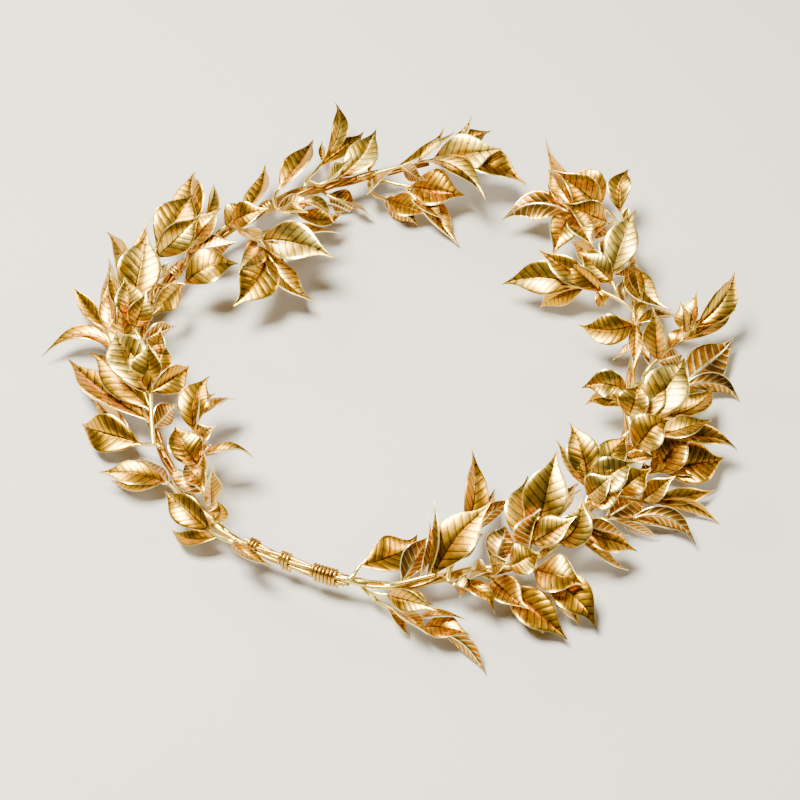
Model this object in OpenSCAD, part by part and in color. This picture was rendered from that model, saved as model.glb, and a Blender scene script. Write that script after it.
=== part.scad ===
// Leaf headband: two leafy garlands on wire stems, bound together at the back and open at the front.
// Millimetres. Z is up, the headband lies flat on its leaf tips at z = 0, and its open front faces -Y.

/* [Stems] */
// Extra thickness of both main stems, mm
stem_extra = 0; // [-0.6:0.1:0.8]
// Diameter of a twig at its foot, mm
twig_d = 1.9; // [1.4:0.1:2.4]
// Diameter of a twig at its end, mm
twig_end_d = 1.3; // [1:0.1:1.8]
// Clearance between a twig and the stem that carries it, mm
seat_gap = 0.3; // [0.2:0.05:0.5]

/* [Leaves] */
// Thickness of a leaf at its midrib, mm
leaf_t = 1; // [0.7:0.1:1.4]
// Leaf width against the charted width
leaf_broad = 1.15; // [0.8:0.05:1.3]
// Angle at which each half of a leaf rises from the midrib, degrees
leaf_fold = 20; // [8:1:35]

/* [Windings] */
// Diameter of the binding wire, mm
wrap_wire_d = 1; // [0.8:0.1:1.2]
// Distance from one turn of the binding wire to the next, mm
wrap_pitch = 1.3; // [1.3:0.1:2]
// Clearance between the binding wire and what it binds, mm
wrap_gap = 0.25; // [0.2:0.05:0.4]

/* [Hidden] */
// The rows below are charted on a level plan, as seen along lines from one fixed eye point:
// x runs to the right and y away from the eye. A row's z is a true height, and its x and y are where the
// line of sight to the point crosses the plan's own height.
plan_z = 14;
eye = [5.5, -356.6, 505.5];
// The middle of the head opening on the plan, and the turn that faces the opening to -Y
plan_middle = [9, 10];
plan_turn = -154.8;
// How far a leaf's face turns from the eye point towards straight up
face_up = 0.35;
// Height added to everything, so that the lowest leaf tips lie on z = 0
rest_lift = -1.5;

twig_sides = 4;
twig_lengths = 3;
stem_sides = 6;
wire_sides = 4;
twig_r = twig_d / 2;
twig_end_r = twig_end_d / 2;
wire_r = wrap_wire_d / 2;
// The two strands of the joint lie one over the other, this far above and below its middle
strand_rise = 1.7;

// Leaf sections: share of the length, share of the half width, share of the midrib thickness
leaf_sections = [
  [0, 0.1, 0.6],
  [0.34, 1, 1],
  [0.68, 0.7, 0.75]
];
leaf_stalk = 0.3;
// A leaf no wider than this has its first two sections only, mm
narrow_leaf = 5;

// Stem rows: x, y, z, diameter, true rise above z
stem_left_rows = [
  [-13, -86.2, 14, 2.6, -1.7], [-22, -83.4, 14, 2.6, -1.7], [-31, -79.6, 14, 2.6, -1.7],
  [-40, -75.6, 14, 2.6, -1.7], [-49, -70.9, 14, 2.7, -1.4], [-58, -64, 14, 3, -0.3],
  [-66, -55, 14, 3.2, 0], [-73, -45, 14, 3.2, 0], [-77.5, -36, 14, 3.2, 0], [-82, -25, 14, 3.2, 0],
  [-85, -14, 14, 3.2, 0], [-88, -2, 14, 3.2, 0], [-90, 10, 14, 3.2, 0], [-89.5, 22, 14, 3.3, 0],
  [-87, 34, 14, 3.4, 0], [-82, 44, 14, 3.4, 0], [-76, 53, 14, 3.4, 0], [-68, 62, 14, 3.4, 0],
  [-60, 69, 14, 3.4, 0], [-51, 76, 14, 3.4, 0], [-44, 82, 14, 3.4, 0], [-35, 87, 14, 3.3, 0],
  [-26, 90, 14, 3.2, 0], [-15, 93.5, 14, 3.1, 0], [-5, 97, 14, 3, 0], [3, 99, 14, 2.8, 0],
  [10, 101, 14, 2.5, 0], [17, 103, 14, 2.1, 0]
];
stem_right_rows = [
  [-47, -72, 14, 2.6, 1.7], [-40, -75.6, 14, 2.6, 1.7], [-31, -79.6, 14, 2.6, 1.7],
  [-22, -83.4, 14, 2.6, 1.7], [-13, -86.2, 14, 2.6, 1.7], [-4, -88, 14, 2.8, 0.8], [6, -88.5, 14, 3, 0.1],
  [16, -86, 14, 3.2, 0], [26, -83.5, 14, 3.2, 0], [38, -82, 14, 3.2, 0], [48, -79, 14, 3.2, 0],
  [57, -73, 14, 3.2, 0], [65, -65, 14, 3.2, 0], [72, -56, 14, 3.2, 0], [78, -46, 14, 3.2, 0],
  [83, -36, 14, 3.2, 0], [86, -26, 14, 3.2, 0], [87, -16, 14, 3.2, 0], [88.5, -6, 14, 3.2, 0],
  [91, 5, 14, 3.2, 0], [92.5, 16, 14, 3.2, 0], [93.5, 28, 14, 3.1, 0], [93.7, 40, 14, 3, 0],
  [94, 50, 14, 2.9, 0], [93.5, 60, 14, 2.6, 0], [91.5, 70, 14, 2.2, 0]
];

// Winding rows: stem row where it starts (rows may be split), turns
joint_wraps = [[0.3, 3], [1.6, 3], [2.8, 7]];
collar_wraps = [[15.1, 3], [19.4, 3], [20.5, 2]];

// Sprigs. Twig rows: x, y, z. The first row of the first twig is its seat on the stem, and the other
// twigs fork from the first one.
// Leaf rows: foot x, foot y (the leaf grows from the nearest point of its twigs), tip x, tip y, tip z,
// width, turn about its length (0 shows the upper face, 90 the edge, 180 the underside),
// bow to its own left, lift of its middle towards the eye, sideways flick of its needle end.
left_1_twigs = [[[-52, -71.5, 15.5], [-58.5, -67.8, 13], [-66, -60, 11], [-72, -54, 10]]];
left_1_leaves = [
  [-56, -69, -72.3, -66.7, 4, 5.5, -20, 2],
  [-59, -67, -76.5, -51, 16, 9, 10, 0, 3],
  [-52, -72, -37, -81.5, 21, 5, 30, -1, 3]
];
left_2_twigs = [[[-64, -58, 16.5], [-69, -54.5, 15], [-74, -49, 11], [-79, -45, 10]]];
left_2_leaves = [
  [-79, -50, -95.7, -46.3, 3, 5, 50, 1],
  [-75, -47, -99.5, -43.5, 12, 8, -10, -2, 3],
  [-74, -49, -86, -36.5, 6, 8, 150]
];
left_3_twigs = [[[-58, -62.5, 16], [-61.5, -54, 20], [-65.5, -39, 21], [-68, -28, 21], [-68.3, -17, 20]]];
left_3_leaves = [
  [-57.5, -62.5, -58.5, -54, 23, 6, 20, -1.5],
  [-62, -53, -74, -40, 20, 8, 165, 0, 4],
  [-63.5, -48, -70, -38, 26, 8, 150, 0, 3],
  [-63, -50, -62.7, -34.5, 29, 8, 60],
  [-60, -58, -60.5, -40, 32, 8, -50],
  [-65, -38, -45.7, -36.7, 24, 8, 50, 1.5, 2, -1.5],
  [-66, -34, -61.3, -31.8, 23, 2.4, 0, 0, 0],
  [-67, -30, -60, -23.7, 27, 6.5, 20],
  [-65, -41, -74.5, -23.5, 27, 11, -20, 1, 3],
  [-66, -36, -66.8, -11, 33, 4, 80, 0.5],
  [-68, -26, -64, -3.5, 25, 10, 15, 3, 3],
  [-68.3, -17, -61, -10, 24, 7, 45],
  [-68.2, -21, -53, -11.2, 17, 8, 50, 1]
];
left_4_twigs = [
  [[-79, -33, 16], [-81.5, -31.5, 15.5], [-85, -31.5, 11.5], [-88, -31.5, 10]],
  [[-82.5, -25, 18], [-84, -16, 20], [-85, -8, 21.5], [-84.5, 1, 22], [-84, 8, 22]]
];
left_4_leaves = [
  [-86, -33, -108.5, -22.7, 6, 12, 10, 0, 3],
  [-88, -31, -105, -11, 1.5, 11, 40, 0, 2],
  [-83, -25, -74.5, -14.5, 17, 8, 140],
  [-84.3, -5, -92, 14, 27, 9, 0],
  [-84, -22, -115.5, 4.5, 6, 11, -25, 1.5, 3],
  [-84, -17, -107, 8, 14, 11, 10, 0, 3],
  [-85, -11, -100, 20, 24, 13, 5, 0, 4],
  [-85, -6, -87, 13, 32, 10, 25, 1, 2],
  [-84.5, -2, -81.5, 14, 25, 8, -35, 0, 2],
  [-84.7, -9, -71, 3, 20, 9, -35],
  [-84, 8, -83, 20, 30, 7, 30]
];
left_5_twigs = [[[-88, -6, 12], [-93, 1, 10], [-98, 9, 9.5], [-101.5, 18, 9.5]]];
left_5_leaves = [
  [-97, 6, -125.3, 6.7, 7, 6.5, -35, -9, 1],
  [-99, 12, -109.5, 23.5, 3, 5, 50],
  [-101.5, 18, -118, 39.8, 9, 5.2, 5, 1, 2],
  [-100, 14, -105, 42, 16, 7, 30, 0, 3],
  [-100.3, 15, -106.7, 54, 6, 10, 55, 0, 3],
  [-94, 3, -99, 32, 14, 10, 20]
];
left_6_twigs = [[[-90, 14, 16.5], [-93, 20, 18], [-95, 29, 18], [-96, 38, 18]]];
left_6_leaves = [
  [-90, 14, -78.5, 21.5, 15, 7, 115, 0, 3],
  [-95, 29, -92.5, 67, 30, 14, 0, 0, 2],
  [-96, 38, -107.7, 67, 11, 7, 45, -2],
  [-93.5, 22, -99, 44, 27, 9, 5, 0, 3],
  [-93, 20, -90.5, 38, 29, 8, -15, 0, 3],
  [-94, 26, -105, 49, 22, 6, 40, 1, 2],
  [-95.7, 35, -101, 58, 19, 9, -45, 1],
  [-96, 38, -91, 73, 15, 6, 40, 1, -1]
];
left_7_twigs = [
  [[-87.5, 34, 16.5], [-88.5, 42, 19], [-88.5, 50, 20], [-88, 58, 20]],
  [[-84, 40, 19], [-80, 41.5, 21], [-76, 41, 21]]
];
left_7_leaves = [
  [-88, 58, -76, 87, 26, 14, 10, 0, 3],
  [-88.3, 54, -72, 76, 31, 10, -30, 0, 3],
  [-76, 41, -56, 52, 26, 12, 10, 3, 3],
  [-87.5, 42, -82.5, 52, 27, 6, 130, 0, 2],
  [-77, 41, -87.5, 24.5, 22, 8, 40, 0, 2]
];
left_8_twigs = [[[-76.5, 52, 16.5], [-76, 57, 17], [-74.5, 63, 17.5], [-71, 70, 18]]];
left_8_leaves = [
  [-73.7, 65, -76, 98, 21, 12, 20, 1, 3],
  [-71, 70, -69, 94, 17, 6, -50, -1, 2],
  [-76, 57, -57.5, 62, 21, 9, 165, 0, 2],
  [-75.5, 60, -65, 79.5, 26, 10, 25, 0, 3]
];
left_9_twigs = [[[-67, 63, 16.5], [-65, 67, 17], [-62, 70, 17.5], [-59, 73, 18]]];
left_9_leaves = [
  [-62.5, 69.5, -54, 82, 22, 9, 10],
  [-59, 73, -47.7, 101, 12, 9, 45, -3.5, 2],
  [-60.5, 71.5, -46, 79, 27, 9, 10, 1, 3]
];
left_10_twigs = [[[-59, 69.5, 16.5], [-54.5, 67.5, 20], [-50, 65, 22], [-47, 60, 22], [-45.5, 55, 22]]];
left_10_leaves = [
  [-48.5, 63, -20, 54, 28, 13, 5, 2, 3],
  [-51, 66, -16.5, 66.7, 19, 10, 50, 0, 3],
  [-46, 58, -27, 33, 13, 10, 40, -3, 2],
  [-45.5, 55, -57, 30.5, 20, 14, 10, 1.5, 3],
  [-46.5, 59, -57, 46.5, 30, 7, 0],
  [-56, 68, -46, 58.5, 32, 7, 15],
  [-47, 60.5, -38, 51, 23, 8, 130],
  [-49.5, 64.5, -55, 52, 25, 3.5, 20, 0, 1],
  [-50, 65, -22, 73, 10, 8, 120, -2, 2]
];
left_11_twigs = [
  [[-43.5, 82.5, 16.5], [-44, 86, 16.5], [-41.5, 90, 14]],
  [[-43, 79, 19], [-40, 77, 20.5], [-36, 78, 21]]
];
left_11_leaves = [
  [-42, 88, -29.3, 114.3, 15, 10, 30, 0, 3],
  [-38, 77.3, -20, 72, 22, 8, 55, 5, 2],
  [-36, 78, -17, 76.5, 15, 7, 20, -3, 2],
  [-42, 78, -30.5, 76.5, 28, 7, 35],
  [-39.5, 77, -14, 78, 10, 8, 55, 3, 1],
  [-43, 79, -28, 84, 25, 7, 160, 0, 2]
];
left_12_twigs = [
  [[-32, 91, 17], [-31.5, 94.5, 16.5], [-28, 99, 13], [-24.5, 106, 12]],
  [[-27, 91.5, 19], [-23, 93.5, 20], [-19, 95, 20]]
];
left_12_leaves = [
  [-24.5, 106, -21.3, 137.3, 19, 6.5, -35, -3.5, 3],
  [-25.5, 103.5, -26, 115.3, 10, 2.4, 0, 0, 0],
  [-27, 101, -9.2, 121, 8, 7, 15],
  [-19, 95, -4.2, 121.5, 26, 10, 5, -2, 3],
  [-23, 93.5, -14, 106, 31, 8, 45]
];
left_13_twigs = [[[-26, 89, 12], [-23, 86, 11], [-19.5, 84, 10.5], [-16, 83, 10]]];
left_13_leaves = [
  [-23.5, 86.5, -11.5, 79, 3.5, 9, 150],
  [-16, 83, -4.7, 74, 5, 6, 60]
];
left_14_twigs = [[[-10, 95.5, 16.5], [-2, 98.5, 18], [8, 102.5, 19], [17, 104.5, 19.5], [25, 105, 20]]];
left_14_leaves = [
  [-8, 97, -2.7, 108.5, 19, 4, 55],
  [3, 100.5, 23.3, 123.3, 19, 5.5, 50, -2.5, 2],
  [12, 103.5, 27.5, 121.2, 25, 7, 55],
  [22, 105, 34.5, 129.5, 24, 6, 50, -2.5],
  [24, 105, 41.5, 119.3, 16, 8, 20, 2],
  [18, 104.5, 46.5, 110.5, 27, 14, 5, 0, 3],
  [25, 105, 55.5, 91.8, 15, 12, 20, 3, 4],
  [15, 104, 39, 84, 28, 9, 30, 4, 3],
  [6, 101.5, 16, 93.5, 27, 6, 150]
];
left_15_twigs = [
  [[-6, 96, 12], [-7, 91, 10], [-4.5, 86, 9], [1, 84, 9]],
  [[-1, 93.5, 10.5], [4, 92, 10.5], [10, 90.5, 10.5]]
];
left_15_leaves = [
  [-2, 84.8, 12.7, 70.5, 1.5, 9, 140],
  [1, 84, 16, 76, 11, 9, 10],
  [-6, 89, 3, 101, 28, 8, 40, 0, 4],
  [10, 90.5, 31, 85.5, 14, 14, 5, 0, 3],
  [6.5, 91.5, 27.5, 60, 3, 10, 40, 2, 1],
  [10, 90.5, 23, 72, 12, 8, 10, 0, 2]
];

right_1_twigs = [[[-12, -86, 18.5], [-10, -84, 18.5], [-9, -82, 19.5], [-8, -80.5, 20]]];
right_1_leaves = [[-8, -80.5, 11, -69.5, 14, 12, 5, -1.5, 3]];
right_2_twigs = [
  [[-8, -87.5, 12], [-3, -93, 10], [6, -99, 8], [15, -105, 7]],
  [[-4, -91, 14], [0, -91.5, 15], [4, -91.5, 15.5]]
];
right_2_leaves = [
  [1, -95.5, 8.8, -107.2, 3, 4, 50],
  [4, -97.5, 15, -106, 16, 8, 55],
  [13, -104, 28.2, -106.5, 12, 8, 10, 1],
  [15, -105, 33.4, -121.6, 1.5, 6.5, 120, 4],
  [9, -101, 27.3, -100.8, 15, 6, 50, 1],
  [1, -91.5, 18, -97.5, 22, 6.5, -25, 0, 3],
  [4, -91.5, 16, -95.5, 12, 6, 20]
];
right_3_twigs = [[[3, -88, 16.5], [8, -86.5, 19], [13, -85, 20], [17, -84, 20.5]]];
right_3_leaves = [
  [6, -87.5, 16.5, -68, 25, 8, 155, 0, 3],
  [12, -85.3, 15, -61.5, 31, 6, 115, -2.5],
  [14.5, -84.7, 18, -55, 36, 5, 55, -2.5],
  [17, -84, 36.5, -56.5, 33, 12, 5, 2.5, 3],
  [16, -84.3, 26, -68, 22, 8, -40, 1, 1]
];
right_4_twigs = [
  [[20.5, -84, 16.5], [23, -80, 16], [25.5, -75, 16.5], [27, -71, 17]],
  [[21.5, -85.5, 18], [23, -87.5, 17], [25, -88.5, 14]]
];
right_4_leaves = [
  [26.5, -72.5, 31, -34, 23, 9, -40, -2.5, 3],
  [27, -71, 38.5, -51, 14, 8, 50],
  [27, -71, 47, -54.5, 16, 5.5, 140, 2],
  [24.7, -77, 34, -63.5, 22, 9, 50],
  [23.3, -79.5, 34, -68, 11, 8, 125],
  [24, -88, 36.7, -98.5, 14, 5, 15, 3, 2],
  [23, -87.5, 30, -90, 16, 7, 150]
];
right_5_twigs = [[[31, -82.5, 12], [34, -84.5, 9], [37.5, -86, 8], [41, -88.5, 8]]];
right_5_leaves = [
  [36, -85, 48, -97, 13, 9, 5, 0, 2],
  [41, -88.5, 60, -108, 6, 11, 5, 0, 3],
  [39, -87, 52, -106, 5.5, 8, 130, -1, 0]
];
right_6_twigs = [[[27.5, -83, 16.5], [32, -81.5, 20], [37, -81, 21], [42, -81, 21.5]]];
right_6_leaves = [
  [37, -81, 41.7, -63.5, 25, 9, 165, 0, 3],
  [29, -82, 36.5, -83, 27, 7, 10],
  [36, -81, 43, -79, 29, 6, 0],
  [42, -81, 53, -75.5, 25, 10, 10]
];
right_7_twigs = [
  [[46, -79.5, 16.5], [48, -76, 17.5], [50, -72, 18.5], [52, -68, 19]],
  [[49, -80.5, 18], [51.5, -83, 14], [54, -84, 11]]
];
right_7_leaves = [
  [49, -74, 50, -45, 24, 11, 10, 2, 3],
  [51.5, -69, 61, -34, 37, 13, 5, 0, 3],
  [48.5, -75, 53, -58, 29, 12, 130],
  [50.5, -71, 67.5, -48, 16, 10, 45],
  [52, -68, 68, -50, 26, 8, 45],
  [51, -82, 67, -88, 19, 12, 5, 0, 3],
  [50.5, -72, 66, -62, 28, 9, 10, 0, 2],
  [53, -84, 70, -104, 8, 11, 5, 2, 3],
  [53, -84, 65, -103, 1.5, 10, 40]
];
right_8_twigs = [[[56.5, -73, 16.5], [60, -71, 19], [64, -67.5, 20], [67, -64.5, 20.5]]];
right_8_leaves = [
  [59, -72, 68, -54, 30, 10, 10, -3, 3],
  [67, -64.5, 84, -69, 24, 9, 120],
  [66, -65.5, 84.5, -75.3, 13, 9, 10, 0, 3],
  [63.5, -68, 82, -82.5, 5, 8, 55, 0, 1]
];
right_9_twigs = [
  [[68.5, -61, 17], [72, -62, 15], [78, -62, 10], [84, -62.5, 8.5]],
  [[69.5, -59, 20], [70, -55, 22], [70.5, -51.5, 23], [71, -48, 23.5]]
];
right_9_leaves = [
  [70, -55, 83, -50, 27, 9, 10],
  [76, -62, 91, -51, 4, 10, 170],
  [78, -62, 94, -70, 3, 5, 120],
  [84, -62.5, 106, -72.5, 6, 6.5, 150, 5, 1],
  [82, -62.3, 101, -66.5, 1.5, 5, 50, 0, 1],
  [71, -48, 66, -22.5, 34, 10, -5, -1, 3],
  [70.7, -50, 61, -29.5, 26, 5, 55],
  [71, -50, 88, -39, 31, 11, 5, 0, 3],
  [70.5, -53, 80, -44, 33, 9, 0],
  [71, -48, 86, -28, 25, 9, 10, 0, 3]
];
right_10_twigs = [[[76, -50, 16.5], [80, -52, 14], [85, -54, 11], [92, -56, 9]]];
right_10_leaves = [
  [80, -52, 92.5, -42.5, 18, 9, 5, 0, 3],
  [92, -56, 115, -64, 1.5, 5, -45, 4],
  [90.5, -55.7, 114.5, -50.5, 6, 5.5, 10, 0],
  [89, -55, 101.5, -45, 21, 7, 15]
];
right_11_twigs = [
  [[82.5, -38, 12], [86.5, -42.5, 10], [91, -44, 9], [97, -42.5, 8]],
  [[84.5, -37, 17.5], [87, -35, 19], [91, -33, 20], [97, -28, 21]]
];
right_11_leaves = [
  [97, -42.5, 109, -46, 12, 3, 0, 1],
  [96, -43, 114, -40, 9, 8, 20, 0, 1],
  [97, -41.5, 119, -37.3, 8, 13, -10, 0, 3],
  [95, -43.5, 108.5, -25.5, 20, 12, 5, 0, 3],
  [93, -44, 96, -33, 17, 4, 20, -1.5],
  [92, -44, 91, -38.5, 14, 6, 150],
  [97, -28, 125, -34, 14, 7, 10, 2, 2],
  [97, -28, 116.5, -21.8, 23, 9, 30],
  [89, -35, 102.5, -20.5, 29, 12, 5, 1.5, 3],
  [86, -37, 96, -36.5, 21, 4, 10],
  [84.5, -37, 86.5, -28, 22, 7, 160, 0, 2]
];
right_12_twigs = [
  [[84.5, -29, 16.5], [88, -25.5, 18], [93.5, -21.5, 19], [100, -20, 19]],
  [[87, -19, 19], [87, -14, 20], [87.5, -9, 20.5]]
];
right_12_leaves = [
  [93, -22, 110, 7, 29, 14, 0, 0, 3],
  [90, -23, 101, -1, 25, 9, 10, 0, 3],
  [87.3, -20, 92.5, -4.5, 27, 10, 5, 0, 3],
  [100, -20, 118.5, -6, 14, 8, 10, -2.5, 2],
  [87, -16, 71.8, -15, 15, 5, 25, -3, 3],
  [87.5, -9, 71.3, -7.2, 21, 9, 10, -2, 3]
];
right_13_twigs = [
  [[90, -5, 12], [94, -5, 10], [99, -6, 8.5], [106, -8, 8]],
  [[93, -2, 15], [97, 2, 17.5], [104, 10, 18.5], [111, 18, 19], [116, 21.5, 19]]
];
right_13_leaves = [
  [106, -8, 128, -14.5, 1.5, 6.5, 160, 5, 2],
  [104, -8, 115.5, -11, 10, 6, 55],
  [106, -7, 129, 16, 11, 13, 175, 0, 2],
  [115, 21, 131.8, 46.5, 26, 9.5, -30, -2.5, 3],
  [107, 13, 131.5, 29.3, 14, 8, 30, -1.5, 2],
  [112, 19, 117, 37.5, 28, 7, 35],
  [111, 18, 110.7, 33, 26, 6, 45],
  [99, 4, 110, 8, 11, 8, 165],
  [99.5, 5, 100.5, 30, 34, 9, 30, 0, 3],
  [97, 2, 97, 21, 21, 8, 120, 0, 1],
  [104, 11, 110.5, 21, 22, 5, 20]
];
right_14_twigs = [[[92.2, 12, 16.5], [92.4, 15, 19.5], [92.8, 18.5, 21], [93, 22, 21.5]]];
right_14_leaves = [
  [93, 22, 72, 21.5, 19, 10, 10, 2, 3],
  [92.5, 16, 83, 6, 17, 5, 130],
  [93, 22, 111, 21.5, 14, 8, 45, 3, 2],
  [93, 22, 99, 31.5, 20, 4, 20, 2, 2],
  [93, 22, 90.3, 1, 20, 5, 5]
];
right_15_twigs = [
  [[92.5, 29, 16.5], [88, 33.5, 18], [80, 38.5, 18.5], [74, 40, 18]],
  [[87, 38, 19.5], [85.5, 44, 20.5], [83.5, 51, 21]]
];
right_15_leaves = [
  [74, 40, 44.5, 41, 13, 11, 15, -3, 3],
  [76, 39.7, 57.7, 29.5, 5, 8, 50, -2],
  [78.5, 39, 58.5, 58.3, 27, 8, 5, 0, 3],
  [81.5, 37.8, 69, 53, 27, 7, 35],
  [80, 38.5, 82, 31.5, 13, 6, 20],
  [86.3, 42, 74, 57, 27, 9, 5],
  [84.5, 47.5, 76.5, 58.3, 21, 6, 15],
  [85.3, 45, 97, 76.5, 31, 11, 10, 0, 3],
  [83.5, 51, 87, 63, 15, 7, 150, 0, 2],
  [84, 49.5, 72, 62, 13, 7, 35],
  [86.8, 39.5, 73.5, 48, 13, 7, 35, -4, 1],
  [90, 32, 89.5, 43, 20, 5, 150, 0, 2]
];
right_16_twigs = [[[94, 50, 16.5], [94.3, 57, 18.5], [94, 65, 19], [91.5, 77, 19.5]]];
right_16_leaves = [
  [91.5, 77, 96.5, 99, 24, 8, 15, 2, 3],
  [93, 73, 95, 80.5, 23, 2.4, 0, 0, 0],
  [94, 51.5, 93, 62.5, 26, 6, 60],
  [94.3, 55, 96.5, 67, 24, 5, 60],
  [94.2, 53.5, 88, 58, 22, 3.5, 0, 0, 1],
  [94, 51, 86, 45, 16, 6, 150],
  [94, 51, 107, 29.3, 22, 9, 10, -3, 3],
  [94, 51, 96.5, 31, 21, 5, 5, 0, 2]
];
right_17_twigs = [
  [[91.8, 68, 12], [89.5, 73, 11.5], [87, 77, 11], [84, 80, 11]],
  [[88, 71, 14], [84, 73.5, 16], [79, 75, 17.5], [73, 75.5, 18.5]]
];
right_17_leaves = [
  [86, 78, 65.3, 116, 1.8, 7.5, 45, 5, 2],
  [84.5, 79.5, 66.5, 99, 24, 11, 5, 0, 3],
  [84, 80, 71.5, 96.5, 17, 12, 0, -2.5, 4],
  [75, 75.5, 64, 100, 19, 7, 40, 0, 4],
  [73, 75.5, 45.3, 73, 12, 11, 170, -6, 3],
  [86, 72.5, 69.5, 82, 27, 10, 5, 0, 3],
  [78.5, 75, 63.5, 92, 24, 8, 50, 3],
  [74, 75.5, 64, 54.5, 17, 10, 5, -2.5, 3],
  [73, 75.5, 80, 60, 20, 9, 10, 0, 2],
  [86.5, 72, 78, 61, 21, 9, 150, 0, 2]
];

gold = [0.83, 0.62, 0.28];
pale_gold = [0.93, 0.78, 0.47];

function unit(v) = v / norm(v);
function clamp(x, low, high) = min(max(x, low), high);

// A point of the plan at a true height, along the line of sight
function seen(x, y, z) = let (g = [x, y, plan_z]) g + (eye - g) * (z - plan_z) / (eye.z - plan_z);

// From the plan to the headband's own frame
function placed(p) = let (x = p.x - plan_middle.x, y = p.y - plan_middle.y)
  [x * cos(plan_turn) - y * sin(plan_turn), x * sin(plan_turn) + y * cos(plan_turn), p.z + rest_lift];

// A smooth curve through rows of numbers, at a place counted in rows
function curve_at(rows, u) = let (m = len(rows) - 1, k = clamp(floor(u), 0, m - 1), f = u - k,
  a = rows[max(k - 1, 0)], b = rows[k], c = rows[k + 1], d = rows[min(k + 2, m)])
  (2 * b + (c - a) * f + (2 * a - 5 * b + 4 * c - d) * f * f + (3 * b - a - 3 * c + d) * f * f * f) / 2;
function curve(rows, n) = [for (i = [0:n]) curve_at(rows, (len(rows) - 1) * i / n)];

// The point of a line of points that lies nearest to p
function nearest(line, p) = let (
  feet = [for (i = [0:len(line) - 2]) let (a = line[i], d = line[i + 1] - a)
    a + d * clamp((p - a) * d / (d * d), 0, 1)],
  away = [for (q = feet) norm(p - q)])
  feet[search(min(away), away)[0]];

// Where the line of sight through p crosses the plan
function on_plan(p) = eye + (p - eye) * (eye.z - plan_z) / (eye.z - p.z);
// The point of a line that is seen nearest to p on the plan, after how far from p it is seen
function seen_nearest(line, p) = let (
  flat = [for (q = line) on_plan(q)],
  at = [for (i = [0:len(line) - 2]) let (d = flat[i + 1] - flat[i]) clamp((p - flat[i]) * d / (d * d), 0, 1)],
  away = [for (i = [0:len(line) - 2]) norm(p - flat[i] - (flat[i + 1] - flat[i]) * at[i])],
  k = search(min(away), away)[0])
  [away[k], line[k] + (line[k + 1] - line[k]) * at[k]];

// Stems as points with a radius
function stem_points(rows) = [for (r = rows) concat(seen(r[0], r[1], r[2]) + [0, 0, r[4]], (r[3] + stem_extra) / 2)];
function xyz(p) = [p[0], p[1], p[2]];
stem_left_curve = curve(stem_points(stem_left_rows), 36);
stem_right_curve = curve(stem_points(stem_right_rows), 34);
stem_left_line = [for (p = stem_left_curve) xyz(p)];
stem_right_line = [for (p = stem_right_curve) xyz(p)];

// Rings of a tube along points; the side of each ring is square to its path and to the given axis
function ring_of(p, along, axis, r, sides) = let (side = unit(cross(along, axis)), top = cross(side, along))
  [for (j = [0:sides - 1]) p + r * (cos(360 * j / sides) * side + sin(360 * j / sides) * top)];
function along_at(line, i) = unit(line[min(i + 1, len(line) - 1)] - line[max(i - 1, 0)]);
function tube_faces(rings, s) = concat(
  [for (i = [0:rings - 2]) for (j = [0:s - 1]) [i * s + j, i * s + (j + 1) % s, (i + 1) * s + (j + 1) % s]],
  [for (i = [0:rings - 2]) for (j = [0:s - 1]) [i * s + j, (i + 1) * s + (j + 1) % s, (i + 1) * s + j]],
  [for (j = [1:s - 2]) [0, j + 1, j]],
  [for (j = [1:s - 2]) [(rings - 1) * s, (rings - 1) * s + j, (rings - 1) * s + j + 1]]);
module tube(rings, s) polyhedron(points = [for (r = rings) for (p = r) placed(p)],
  faces = tube_faces(len(rings), s));

// A cone from a ring to a point a little before it or after it
module cone(ring, point) polyhedron(points = [for (p = concat(ring, [point])) placed(p)],
  faces = concat([for (j = [0:len(ring) - 1]) [j, (j + 1) % len(ring), len(ring)]],
    [for (j = [1:len(ring) - 2]) [0, j + 1, j]]));

module stem(points) {
  line = [for (p = points) xyz(p)];
  tube([for (i = [0:len(points) - 1]) ring_of(line[i], along_at(line, i), [0, 0, 1], points[i][3], stem_sides)],
    stem_sides);
}

// One turn of a winding round two strands has eight places: the angle, and the strand it lies against
turn_angles = [0, 0, 60, 120, 180, 180, 240, 300];
turn_strands = [-1, 1, 1, 1, 1, -1, -1, -1];
// The places stand out a little, so that the straight runs between them clear the stem
turn_out = 1.12;

// A winding round the stem: rows of the stem, the row where it starts, its turns, and how far the middle
// of what it binds lies below the stem, which is 0 round one strand
module winding(rows, start, turns, drop) {
  points = stem_points(rows);
  at = curve_at(points, start);
  ahead = curve_at(points, start + 0.5);
  row_mm = norm(xyz(ahead) - xyz(at)) * 2;
  places = drop == 0 ? 6 : 8;
  path = [for (k = [0:turns * places]) let (u = start + wrap_pitch * k / places / row_mm,
      c = curve_at(points, u), d = curve_at(points, u + 0.05), along = unit(xyz(d) - xyz(c)),
      side = unit(cross(along, [0, 0, 1])), top = cross(side, along),
      r = (c[3] + wrap_gap + wire_r) * turn_out, a = drop == 0 ? 60 * k : turn_angles[k % 8],
      rise = drop == 0 ? 0 : drop * turn_strands[k % 8])
    [xyz(c) + [0, 0, rise - drop] + r * (cos(a) * side + sin(a) * top), along]];
  line = [for (p = path) p[0]];
  tube([for (i = [0:len(path) - 1]) ring_of(line[i], along_at(line, i), path[i][1], wire_r, wire_sides)],
    wire_sides);
}

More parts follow.
